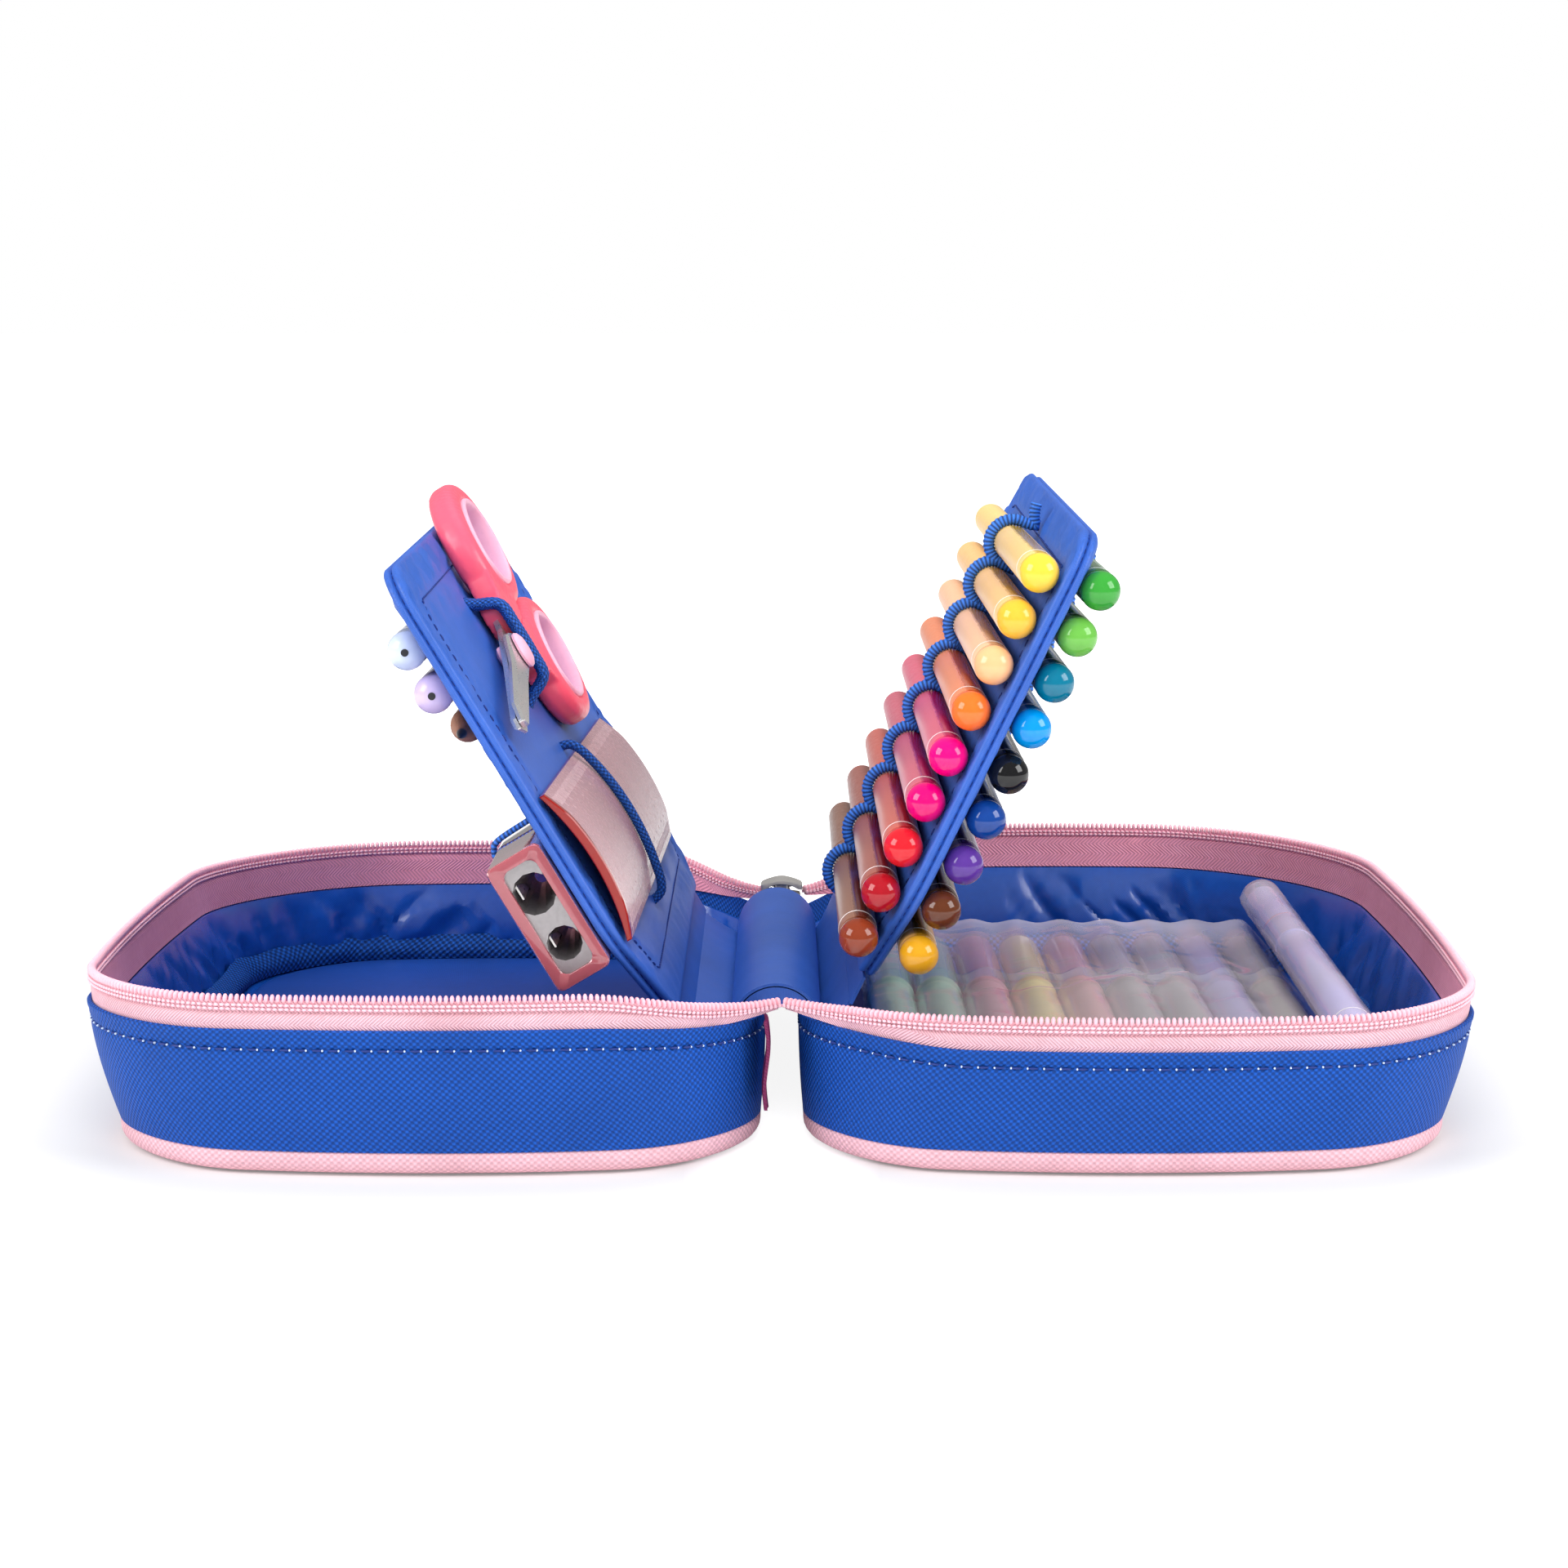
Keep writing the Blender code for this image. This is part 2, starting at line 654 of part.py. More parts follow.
def flap_panel(hand, side, look, parent):
    """The padded board of a flap, and the sewn web that it hinges on."""
    frame = flap_frame(hand)
    start = WEB_LENGTH + WEB_THICKNESS / 2 + FIT_GAP / 2
    if hand == LEFT:
        outline = flap_outline(LEFT_NEAR_EDGE, LEFT_FAR_EDGE, LEFT_FAR_CORNER, start)
    else:
        outline = flap_outline(RIGHT_NEAR_EDGE, RIGHT_FAR_EDGE, RIGHT_FAR_CORNER, start)
    bm = bmesh.new()
    add_prism(bm, outline, -FLAP_THICKNESS / 2, FLAP_THICKNESS / 2)
    finish(side + "_flap_panel", bm, look, parent, frame)
    bm = bmesh.new()
    half = FLAP_HINGE_HALF_LENGTH
    thick = WEB_THICKNESS / 2
    add_prism(bm, [(0, -half), (WEB_LENGTH, -half), (WEB_LENGTH, half), (0, half)], -thick, thick)
    finish(side + "_hinge_web", bm, look, parent, frame)


def pen_profile(length, radius):
    """A pen from its near end: a round ball end, a neck, the barrel, a slimmer body and a domed far end."""
    neck = PEN_NECK_RADIUS / PEN_RADIUS * radius
    slim = radius * 0.93
    profile = [(radius * (1 - math.cos(a)), radius * math.sin(a)) for a in (0, 0.7, 1.2, math.pi / 2, 2.0)]
    profile += [(radius * 1.75, neck), (radius * 1.9, radius), (length * 0.62, radius), (length * 0.64, slim)]
    return profile + [(length - radius, slim), (length - radius * 0.3, slim * 0.7), (length, 0)]


def pen(name, t, near_y, offset, look, frame, parent):
    bm = bmesh.new()
    add_turned(bm, pen_profile(PEN_LENGTH, PEN_RADIUS), Vector((t, near_y, offset)), PEN_SIDES)
    return finish(name, bm, look, parent, frame)


def pencil(look, frame, parent, offset):
    bm = bmesh.new()
    tip = PENCIL_CONE * PENCIL_LEAD_RADIUS / PENCIL_RADIUS
    profile = [(0, 0), (tip, PENCIL_LEAD_RADIUS), (PENCIL_CONE, PENCIL_RADIUS),
               (PENCIL_LENGTH, PENCIL_RADIUS)]
    add_turned(bm, profile, Vector((PENCIL_T, LEFT_PEN_NEAR_Y, offset)), 6)
    return finish("graphite_pencil", bm, look, parent, frame)


def round_arches(rounds):
    """A band's outline over round pieces that lie on a flap, sewn down between them, as (t, height)."""
    outer, inner = [], []
    for i, (t, radius) in enumerate(rounds):
        reach = radius + ELASTIC_GAP
        centre = FIT_GAP + radius
        low, high = t - reach - ELASTIC_THICKNESS, t + reach + ELASTIC_THICKNESS
        if i > 0:
            low = max(low, (rounds[i - 1][0] + rounds[i - 1][1] + t - radius) / 2)
        if i < len(rounds) - 1:
            high = min(high, (t + radius + rounds[i + 1][0] - rounds[i + 1][1]) / 2)
        angles = [math.pi * (1 - k / ARCH_STEPS) for k in range(ARCH_STEPS + 1)]
        for a in angles:
            far = reach + ELASTIC_THICKNESS
            point = (min(max(t + far * math.cos(a), low), high), centre + far * math.sin(a))
            if not outer or math.dist(point, outer[-1]) > FIT_GAP / 10:
                outer.append(point)
        inner.append((t - reach, FIT_GAP))
        inner += [(t + reach * math.cos(a), centre + reach * math.sin(a)) for a in angles]
        inner.append((t + reach, FIT_GAP))
    return [(outer[0][0], FIT_GAP)] + outer + [(outer[-1][0], FIT_GAP)] + inner[::-1]


def flat_arch(low, high, heights):
    """A band's outline over one flat piece, given the piece's heights at even steps across."""
    last = len(heights) - 1
    inner = [(low - ELASTIC_GAP, FIT_GAP)]
    outer = [(low - ELASTIC_GAP - ELASTIC_THICKNESS, FIT_GAP)]
    for k, height in enumerate(heights):
        side = -1 if k == 0 else 1 if k == last else 0
        t = blend(low, high, k / last) + side * ELASTIC_GAP
        top = FIT_GAP + height + ELASTIC_GAP
        inner.append((t, top))
        if side:
            outer.append((t + side * ELASTIC_THICKNESS, top + ELASTIC_THICKNESS / 2))
            outer.append((t + side * ELASTIC_THICKNESS / 2, top + ELASTIC_THICKNESS))
            if side > 0:
                outer[-2:] = outer[:-3:-1]
        else:
            outer.append((t, top + ELASTIC_THICKNESS))
    inner.append((high + ELASTIC_GAP, FIT_GAP))
    outer.append((high + ELASTIC_GAP + ELASTIC_THICKNESS, FIT_GAP))
    return outer + inner[::-1]


def elastic(name, outline, y, side, look, hand, parent):
    """A band as wide as it is cut, standing on one face of a flap."""
    bm = bmesh.new()
    rows = []
    for end in (y - ELASTIC_WIDTH / 2, y + ELASTIC_WIDTH / 2):
        rows.append([Vector((t, end, side * (board_face() + height))) for t, height in outline])
    add_sections(bm, rows, False)
    finish(name, bm, look, parent, flap_frame(hand))


def board_face():
    return FLAP_THICKNESS / 2


def pen_row(row, first, pitch, side, looks, parent):
    """Nine pens and the band that crosses them, on one face of the right flap."""
    offset = side * (board_face() + FIT_GAP + PEN_RADIUS)
    places = [first + pitch * i for i in range(ROW_COUNT)]
    for i, t in enumerate(places):
        name = "%s_pen_%d" % (row, i + 1)
        pen(name, t, PEN_NEAR_Y, offset, looks[name], flap_frame(RIGHT), parent)
    outline = round_arches([(t, PEN_RADIUS) for t in places])
    elastic("right_%s_elastic" % row, outline, ELASTIC_Y, side, looks["cord"], RIGHT, parent)


# Scissors: points are (across, along) from the pivot, with the blades pointing along minus
def scissor_frame():
    turn = Matrix.Rotation(math.radians(-SCISSOR_TURN_DEG), 4, "Z")
    pivot = Vector((SCISSOR_T, SCISSOR_Y, board_face() + FIT_GAP))
    return flap_frame(LEFT) @ Matrix.Translation(pivot) @ turn


def oval(centre, width, length):
    points = []
    for k in range(OVAL_STEPS):
        angle = 2 * math.pi * k / OVAL_STEPS
        points.append((centre[0] + width / 2 * math.cos(angle), centre[1] + length / 2 * math.sin(angle)))
    return points


def handle_middle():
    return HANDLE_THICKNESS / 2


def blade(name, hand, layer, look, parent):
    """One blade with its shank, pierced for the pivot. hand is the side that its handle lies on."""
    bm = bmesh.new()
    low = handle_middle() + (FIT_GAP / 2 if layer == "front" else -FIT_GAP / 2 - BLADE_THICKNESS)
    high = low + BLADE_THICKNESS
    half = BLADE_WIDTH / 2
    side = -hand
    outline = [(side * half * 0.55, -BLADE_LENGTH * 0.3), (side * BLADE_TIP_WIDTH, -BLADE_LENGTH * 0.9),
               (side * BLADE_TIP_WIDTH * 0.2, -BLADE_LENGTH), (-side * half * 0.25, -BLADE_LENGTH * 0.97),
               (-side * half * 0.5, -BLADE_LENGTH * 0.3), (-side * half * 0.7, 0),
               (-side * SHANK_WIDTH * 0.55, SHANK_LENGTH * 0.55), (-side * SHANK_WIDTH, SHANK_LENGTH),
               (-side * SHANK_WIDTH * 0.1, SHANK_LENGTH), (side * half * 0.5, SHANK_LENGTH * 0.45),
               (side * half * 0.9, 0)]
    add_prism(bm, outline, low, high)
    body = finish(name, bm, look, parent, scissor_frame())
    hole = bmesh.new()
    profile = [(low - BLADE_THICKNESS, PIVOT_HOLE_RADIUS), (high + BLADE_THICKNESS, PIVOT_HOLE_RADIUS)]
    add_turned(hole, profile, Vector((0, 0, 0)), ROUND_SIDES, "Z")
    combine(body, "DIFFERENCE", hole, look, parent)
    return body


def handle(name, hand, look, parent):
    """A moulded finger loop, stepped inside where its soft liner sits, with the neck behind the shank."""
    centre = (hand * LOOP_SIDE, LOOP_CENTRE)
    bevel = HANDLE_THICKNESS * 0.25
    top = HANDLE_THICKNESS
    inner_width = LOOP_WIDTH - 2 * LOOP_BAND
    inner_length = LOOP_LENGTH - 2 * LOOP_BAND
    outer = oval(centre, LOOP_WIDTH, LOOP_LENGTH)
    shoulder = oval(centre, LOOP_WIDTH - 2 * bevel, LOOP_LENGTH - 2 * bevel)
    seat = oval(centre, inner_width + 2 * LINER_STEP, inner_length + 2 * LINER_STEP)
    inner = oval(centre, inner_width, inner_length)
    bm = bmesh.new()
    rows = []
    for o, s, m, n in zip(outer, shoulder, seat, inner):
        corners = ((o, bevel), (o, top - bevel), (s, top), (m, top), (n, top - LINER_STEP), (n, LINER_STEP),
                   (m, 0), (s, 0))
        rows.append([Vector((p[0], p[1], height)) for p, height in corners])
    add_sections(bm, rows, True)
    body = finish(name, bm, look, parent, scissor_frame())
    start = SHANK_LENGTH + FIT_GAP
    reach = LOOP_CENTRE - LOOP_LENGTH / 2 + LOOP_BAND * 0.5
    outline = [(hand * FIT_GAP, start), (hand * SHANK_WIDTH * 1.1, start),
               (centre[0] + hand * LOOP_WIDTH * 0.12, reach),
               (hand * FIT_GAP * 2 + hand * LOOP_BAND * 0.5, LOOP_CENTRE - LOOP_LENGTH * 0.22),
               (hand * FIT_GAP, reach + LOOP_BAND * 0.4)]
    neck = bmesh.new()
    add_prism(neck, outline, bevel, top - bevel)
    combine(body, "UNION", neck, look, parent)
    return body


def combine(body, operation, bm, look, parent, frame=None):
    """Add to or cut from a body with a shape that is drawn as a wire only."""
    shape = finish(body.name + "_shape", bm, look, parent, frame or scissor_frame())
    shape.hide_render = True
    shape.display_type = "WIRE"
    change = body.modifiers.new(operation.lower(), "BOOLEAN")
    change.operation = operation
    change.object = shape


def build_scissors(looks, fixed, turning):
    """Two halves that turn on one rivet. The turning half lies higher and has the lower finger loop."""
    blade("scissors_blade_front", -1, "front", looks["steel"], turning)
    blade("scissors_blade_back", 1, "back", looks["steel"], fixed)
    handle("scissors_handle_front", -1, looks["coral"], turning)
    handle("scissors_handle_back", 1, looks["coral"], fixed)
    low = handle_middle() - FIT_GAP / 2 - BLADE_THICKNESS - FIT_GAP
    high = handle_middle() + FIT_GAP / 2 + BLADE_THICKNESS + FIT_GAP
    profile = [(low - PIVOT_CAP_HEIGHT * 0.6, PIVOT_CAP_RADIUS * 0.8), (low, PIVOT_CAP_RADIUS * 0.8),
               (low, PIVOT_PIN_RADIUS), (high, PIVOT_PIN_RADIUS), (high, PIVOT_CAP_RADIUS),
               (high + PIVOT_CAP_HEIGHT * 0.6, PIVOT_CAP_RADIUS * 0.85),
               (high + PIVOT_CAP_HEIGHT, PIVOT_CAP_RADIUS * 0.3)]
    bm = bmesh.new()
    add_turned(bm, profile, Vector((0, 0, 0)), ROUND_SIDES, "Z")
    finish("scissors_pivot", bm, looks["blush"], fixed, scissor_frame())


def ruler_frame():
    near_end = Vector((RULER_T, RULER_NEAR_Y, board_face() + FIT_GAP))
    turn = Matrix.Rotation(math.radians(RULER_TURN_DEG), 4, "Z")
    return flap_frame(LEFT) @ Matrix.Translation(near_end) @ turn


def bow_shares():
    return [2 * k / BOW_STEPS - 1 for k in range(BOW_STEPS + 1)]


def ruler(look, parent):
    """A clear ruler that bows across its width, away from the flap."""
    bm = bmesh.new()
    rows = []
    for y in (0, RULER_LENGTH):
        lower = []
        for share in bow_shares():
            lower.append(Vector((share * RULER_WIDTH / 2, y, RULER_BOW * (1 - share * share))))
        upper = [point + Vector((0, 0, RULER_THICKNESS)) for point in lower]
        rows.append(lower + upper[::-1])
    add_sections(bm, rows, False)
    finish("ruler", bm, look, parent, ruler_frame())


def front_elastics(look, parent):
    """The bands on the left flap's upper face, over the scissors' shanks and over the ruler."""
    turn = math.radians(SCISSOR_TURN_DEG)
    y = SCISSOR_Y + SCISSOR_ELASTIC_ALONG * math.cos(turn)
    middle = SCISSOR_T + SCISSOR_ELASTIC_ALONG * math.sin(turn)
    half = SHANK_WIDTH * 1.15
    height = handle_middle() + FIT_GAP / 2 + BLADE_THICKNESS
    outline = flat_arch(middle - half, middle + half, [height] * 2)
    elastic("scissors_elastic", outline, y, 1, look, LEFT, parent)
    along = RULER_LENGTH * RULER_ELASTIC_SHARE
    middle = RULER_T - along * math.tan(math.radians(RULER_TURN_DEG))
    heights = [RULER_THICKNESS + RULER_BOW * (1 - share * share) for share in bow_shares()]
    half = RULER_WIDTH / 2 + ELASTIC_GAP
    outline = flat_arch(middle - half, middle + half, heights)
    elastic("ruler_elastic", outline, RULER_NEAR_Y + along, 1, look, LEFT, parent)


# Sharpener: a clear box with its metal block at the near end, under the left flap
def box_top():
    return -(board_face() + FIT_GAP)


def sharpener(looks, parent):
    frame = flap_frame(LEFT)
    low = box_top() - BOX_HEIGHT
    near, far = BOX_NEAR_Y, BOX_NEAR_Y + BOX_LENGTH
    edge = BOX_WALL * 1.6

    def shell(inset, y):
        """The box's outline drawn in by an inset, as a ring of points at y."""
        t_near, t_far = BOX_NEAR_T + inset, BOX_NEAR_T + BOX_WIDTH - inset
        n_near, n_far = low + inset, box_top() - inset
        corners = ((t_near, n_near, edge), (t_far, n_near, edge), (t_far, n_far, edge), (t_near, n_far, edge))
        return [Vector((a, y, b)) for a, b in rounded(corners, 2)]
    bm = bmesh.new()
    outside = [shell(0, far), shell(0, near)]
    inside = [shell(BOX_WALL, near), shell(BOX_WALL, far - BOX_WALL)]
    add_sections(bm, outside + inside, False)
    finish("sharpener_box", bm, looks["clear pink"], parent, frame)
    # The block fills the box's mouth and is bored for a thick and a thin pencil
    inset = BOX_WALL + FIT_GAP
    block_near = near + BOX_WALL
    block_far = block_near + BLOCK_LENGTH
    t_low, t_high = BOX_NEAR_T + inset, BOX_NEAR_T + BOX_WIDTH - inset
    middle = low + BOX_HEIGHT / 2
    rib = (t_high - t_low - 2 * SMALL_HOLE_RADIUS - 2 * LARGE_HOLE_RADIUS) / 3
    small_t = t_low + rib + SMALL_HOLE_RADIUS
    large_t = t_high - rib - LARGE_HOLE_RADIUS
    bm = bmesh.new()
    add_sections(bm, [shell(inset, block_near), shell(inset, block_far)], False)
    block = finish("sharpener_block", bm, looks["grey metal"], parent, frame)
    for size, t, radius in (("small", small_t, SMALL_HOLE_RADIUS), ("large", large_t, LARGE_HOLE_RADIUS)):
        bore = bmesh.new()
        slope = radius * (1 - HOLE_BACK_SHARE) / BLOCK_LENGTH
        over = BOX_WALL
        add_turned(bore, [(-over, radius + slope * over),
                          (BLOCK_LENGTH + over, radius * HOLE_BACK_SHARE - slope * over)],
                   Vector((t, block_near, middle)), ROUND_SIDES)
        combine(block, "DIFFERENCE", bore, looks["grey metal"], parent, frame)
        slot_top = middle - radius * 0.55
        slot = bmesh.new()
        slab = bmesh.new()
        spare = (BLADE_SLOT - BLADE_SLAB) / 2
        for shape, low_n, high_n, inset_t in ((slot, slot_top - BLADE_SLOT, slot_top, 0),
                                              (slab, slot_top - BLADE_SLOT + spare, slot_top - spare, spare)):
            corners = ((t - radius * 0.1 + inset_t, low_n), (t + radius - inset_t, low_n),
                       (t + radius - inset_t, high_n), (t - radius * 0.1 + inset_t, high_n))
            ends = (block_near + BLOCK_END_WALL + inset_t, block_far - BLOCK_END_WALL - inset_t)
            add_sections(shape, [[Vector((a, y, b)) for a, b in corners] for y in ends], False)
        combine(block, "DIFFERENCE", slot, looks["grey metal"], parent, frame)
        finish("sharpener_blade_" + size, slab, looks["steel"], parent, frame)


def back_elastics(look, parent):
    """The bands on the left flap's lower face, over the sharpener and over the pencil and pens."""
    outline = flat_arch(BOX_NEAR_T, BOX_NEAR_T + BOX_WIDTH, [BOX_HEIGHT] * 2)
    elastic("sharpener_elastic", outline, BOX_NEAR_Y + BOX_LENGTH * BOX_ELASTIC_SHARE, -1, look, LEFT, parent)
    rounds = [(PENCIL_T, PENCIL_RADIUS), (LEFT_PEN_FIRST, PEN_RADIUS),
              (LEFT_PEN_FIRST + LEFT_PEN_PITCH, PEN_RADIUS)]
    elastic("left_pen_elastic", round_arches(rounds), ELASTIC_Y, -1, look, LEFT, parent)


# Pouch of pens on the right tray's floor
def pouch_floor():
    return BASE_THICKNESS + FIT_GAP + BOARD_THICKNESS + FIT_GAP


def pouch(looks, parent, marker_parent):
    low = pouch_floor()
    pen_axis = low + FILM + FILM_GAP + POUCH_PEN_RADIUS
    row = None
    for i in range(POUCH_PEN_COUNT):
        bm = bmesh.new()
        near_end = Vector((POUCH_PEN_FIRST_X + POUCH_PEN_PITCH * i, POUCH_PEN_NEAR_Y, pen_axis))
        add_turned(bm, pen_profile(POUCH_PEN_LENGTH, POUCH_PEN_RADIUS), near_end, POUCH_PEN_SIDES)
        if row is None:
            row = finish("pouch_pens", bm, looks["pastel"], parent)
        else:
            combine(row, "UNION", bm, looks["pastel"], parent, Matrix.Identity(4))
    # The marker lies on the row's outer pens, its far end held a little higher
    pen_top = pen_axis + POUCH_PEN_RADIUS
    bm = bmesh.new()
    add_turned(bm, pen_profile(MARKER_LENGTH, MARKER_RADIUS), Vector((0, 0, 0)), PEN_SIDES)
    frame = Matrix.Translation(Vector((MARKER_X, MARKER_NEAR_Y, pen_top + FIT_GAP + MARKER_RADIUS)))
    frame = frame @ Matrix.Rotation(math.radians(MARKER_TILT_DEG), 4, "X")
    finish("pouch_marker", bm, looks["lilac"], marker_parent, frame)
    # The film sleeve has a low part over the row and a high part round the marker, open at its near end
    near = POUCH_PEN_NEAR_Y - FILM_MARGIN
    far = POUCH_PEN_NEAR_Y + POUCH_PEN_LENGTH + FILM_MARGIN
    left = POUCH_PEN_FIRST_X - POUCH_PEN_RADIUS - FILM_GAP
    row_right = POUCH_PEN_FIRST_X + POUCH_PEN_PITCH * (POUCH_PEN_COUNT - 1) + POUCH_PEN_RADIUS + FILM_GAP
    top = pen_top + FILM_GAP
    climb = MARKER_LENGTH * math.sin(math.radians(MARKER_TILT_DEG))
    high = top + FIT_GAP + 2 * MARKER_RADIUS + climb
    step = MARKER_X - MARKER_RADIUS - FILM_GAP
    right = max(row_right, MARKER_X + MARKER_RADIUS + FILM_GAP)

    def section(grow, y):
        corners = [(left - grow, low + FILM - grow), (right + grow, low + FILM - grow),
                   (right + grow, high + grow), (step - grow, high + grow),
                   (step - grow, top + grow), (left - grow, top + grow)]
        return [Vector((a, y, b)) for a, b in corners]
    bm = bmesh.new()
    outside = [section(FILM, far), section(FILM, near)]
    inside = [section(0, near), section(0, far - FILM)]
    add_sections(bm, outside + inside, False)
    finish("pouch", bm, looks["film"], parent)


def make_looks():
    blue = (0.02, 0.1, 0.62)
    looks = {
        "woven": material("woven blue", blue, 0.75),
        "satin": material("satin blue", (0.03, 0.13, 0.6), 0.45),
        "pink": material("woven pink", (0.88, 0.34, 0.42), 0.75),
        "tape": material("zip pink", (0.86, 0.3, 0.38), 0.7),
        "teeth": material("zip coil pink", (0.92, 0.42, 0.48), 0.4),
        "plum": material("plum tab", (0.18, 0.02, 0.09), 0.6),
        "slider": material("slider metal", (0.55, 0.52, 0.5), 0.4, 0.9),
        "cord": material("blue cord", (0.015, 0.06, 0.35), 0.65),
        "steel": material("scissor steel", (0.62, 0.6, 0.58), 0.3, 1.0),
        "grey metal": material("cast grey metal", (0.4, 0.39, 0.4), 0.45, 0.9),
        "coral": material("coral plastic", (0.86, 0.1, 0.13), 0.4),
        "blush": material("blush plastic", (0.9, 0.5, 0.55), 0.4),
        "clear pink": material("clear pink plastic", (0.85, 0.2, 0.25), 0.15, 0.0, 0.5),
        "clear red": material("clear red ruler", (0.5, 0.03, 0.03), 0.15, 0.0, 0.6),
        "film": material("clear film", (0.85, 0.85, 0.88), 0.1, 0.0, 0.3),
        "pastel": material("pastel pens", (0.8, 0.7, 0.65), 0.3),
        "lilac": material("lilac marker", (0.5, 0.45, 0.8), 0.3),
        "wood": material("pencil wood", (0.35, 0.16, 0.1), 0.6),
        "ice": material("ice blue pen", (0.6, 0.66, 0.85), 0.2),
        "mauve": material("mauve pen", (0.62, 0.48, 0.75), 0.2),
    }
    front = ((0.14, 0.03, 0.01), (0.42, 0.01, 0.02), (0.7, 0.01, 0.02), (0.75, 0.0, 0.16), (0.85, 0.0, 0.24),
             (0.9, 0.16, 0.01), (0.9, 0.5, 0.2), (0.88, 0.48, 0.03), (0.9, 0.68, 0.01))
    back = ((0.55, 0.26, 0.01), (0.06, 0.015, 0.005), (0.08, 0.03, 0.25), (0.0, 0.05, 0.3),
            (0.005, 0.005, 0.005), (0.0, 0.25, 0.65), (0.0, 0.18, 0.3), (0.1, 0.5, 0.07), (0.04, 0.35, 0.05))
    for side, colours in (("front", front), ("back", back)):
        for i, colour in enumerate(colours):
            name = "%s_pen_%d" % (side, i + 1)
            looks[name] = material(name, colour, 0.2)
    return looks


def build_tray(hand, side, looks, parent):
    base_panel(side + "_base_panel", hand, looks["pink"], parent)
    side_wall(side + "_side_wall", hand, looks["woven"], parent)
    lining(side + "_lining", hand, looks["satin"], parent)
    floor_board(side + "_floor_board", hand, looks["satin"], parent)
    zip_tape(side + "_zip_tape", hand, looks["tape"], parent)
    zip_teeth(side + "_zip_teeth", hand, looks["teeth"], parent)


def build():
    clear_scene()
    looks = make_looks()
    root = empty("left_tray_origin", Vector((0, 0, 0)))
    fold = empty("fold_axis", Vector((0, 0, FOLD_HEIGHT)), root)
    build_tray(LEFT, "left", looks, root)
    build_tray(RIGHT, "right", looks, fold)
    spine_band(looks["satin"], root)
    slider_body(looks["slider"], root)
    slider_pull(looks["slider"], empty("pull_axis", pull_pivot(), root))
    spine_tab(looks["plum"], root)
    left_flap = empty("left_flap_axis", flap_frame(LEFT).translation, root)
    right_flap = empty("right_flap_axis", flap_frame(RIGHT).translation, fold)
    flap_panel(LEFT, "left", looks["satin"], left_flap)
    flap_panel(RIGHT, "right", looks["satin"], right_flap)
    pen_row("front", FRONT_PEN_FIRST, FRONT_PEN_PITCH, 1, looks, right_flap)
    pen_row("back", BACK_PEN_FIRST, BACK_PEN_PITCH, -1, looks, right_flap)
    turning = empty("scissors_axis", scissor_frame().translation, left_flap)
    build_scissors(looks, left_flap, turning)
    ruler(looks["clear red"], left_flap)
    front_elastics(looks["cord"], left_flap)
    sharpener(looks, left_flap)
    back_elastics(looks["cord"], left_flap)
    frame = flap_frame(LEFT)
    offset = -(board_face() + FIT_GAP + PEN_RADIUS)
    pen("left_pen_1", LEFT_PEN_FIRST, LEFT_PEN_NEAR_Y, offset, looks["mauve"], frame, left_flap)
    next_t = LEFT_PEN_FIRST + LEFT_PEN_PITCH
    pen("left_pen_2", next_t, LEFT_PEN_NEAR_Y, offset, looks["ice"], frame, left_flap)
    pencil(looks["wood"], frame, left_flap, -(board_face() + FIT_GAP + PENCIL_RADIUS))
    pouch(looks, fold, fold)


build()
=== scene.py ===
# Filled pencil case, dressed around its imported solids.
# Every point is worked out in millimetres and written to the meshes in metres.
import math

import bpy
import bmesh
import numpy as np
from mathutils import Matrix, Vector, noise


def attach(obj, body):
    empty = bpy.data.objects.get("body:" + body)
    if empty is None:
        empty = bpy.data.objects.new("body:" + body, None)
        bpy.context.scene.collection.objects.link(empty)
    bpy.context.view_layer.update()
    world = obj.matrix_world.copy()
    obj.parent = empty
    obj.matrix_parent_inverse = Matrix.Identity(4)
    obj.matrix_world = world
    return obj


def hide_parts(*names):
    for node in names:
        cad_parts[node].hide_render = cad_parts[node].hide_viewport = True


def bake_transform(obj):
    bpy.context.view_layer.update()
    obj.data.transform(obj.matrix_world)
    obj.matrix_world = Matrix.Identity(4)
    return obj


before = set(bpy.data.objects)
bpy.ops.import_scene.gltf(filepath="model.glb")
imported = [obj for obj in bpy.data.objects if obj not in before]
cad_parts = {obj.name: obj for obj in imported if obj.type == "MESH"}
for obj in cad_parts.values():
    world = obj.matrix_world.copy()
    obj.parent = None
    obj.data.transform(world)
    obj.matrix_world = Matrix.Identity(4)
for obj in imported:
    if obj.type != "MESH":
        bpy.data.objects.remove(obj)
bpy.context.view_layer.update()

MM = 0.001
LEFT, RIGHT = -1, 1
SIDE = {LEFT: "left", RIGHT: "right"}

# Tray sizes
TRAY_WIDTH, TRAY_DEPTH, RIM_CORNERS = 140.6, 201.0, (35.0, 32.0, 50.0, 37.0)
BASE_WIDTH, BASE_DEPTH, BASE_CORNERS, BASE_SHIFT = 133.0, 194.9, (29.0, 28.0, 34.0, 30.0), 1.15
RIM_HEIGHT, RIM_SKEW, TRAY_GAP = 35.7, 2.1, 7.0
OUTER_BULGE, FRONT_BULGE, WALL_SWELL = 4.4, 8.1, 1.7
CORNER_STEPS, SIDE_STEPS = 36, 84
PIPING_HEIGHT = 5.0
WALL, LINING = 1.6, 0.7
HINGE_HEIGHT, HINGE_FALL, DIP_START, DIP_REACH = 28.6, 3.6, 3.0, 40.0
TAPE_SHOWN, TAPE_SHOWN_AT_HINGE = 7.3, 4.5
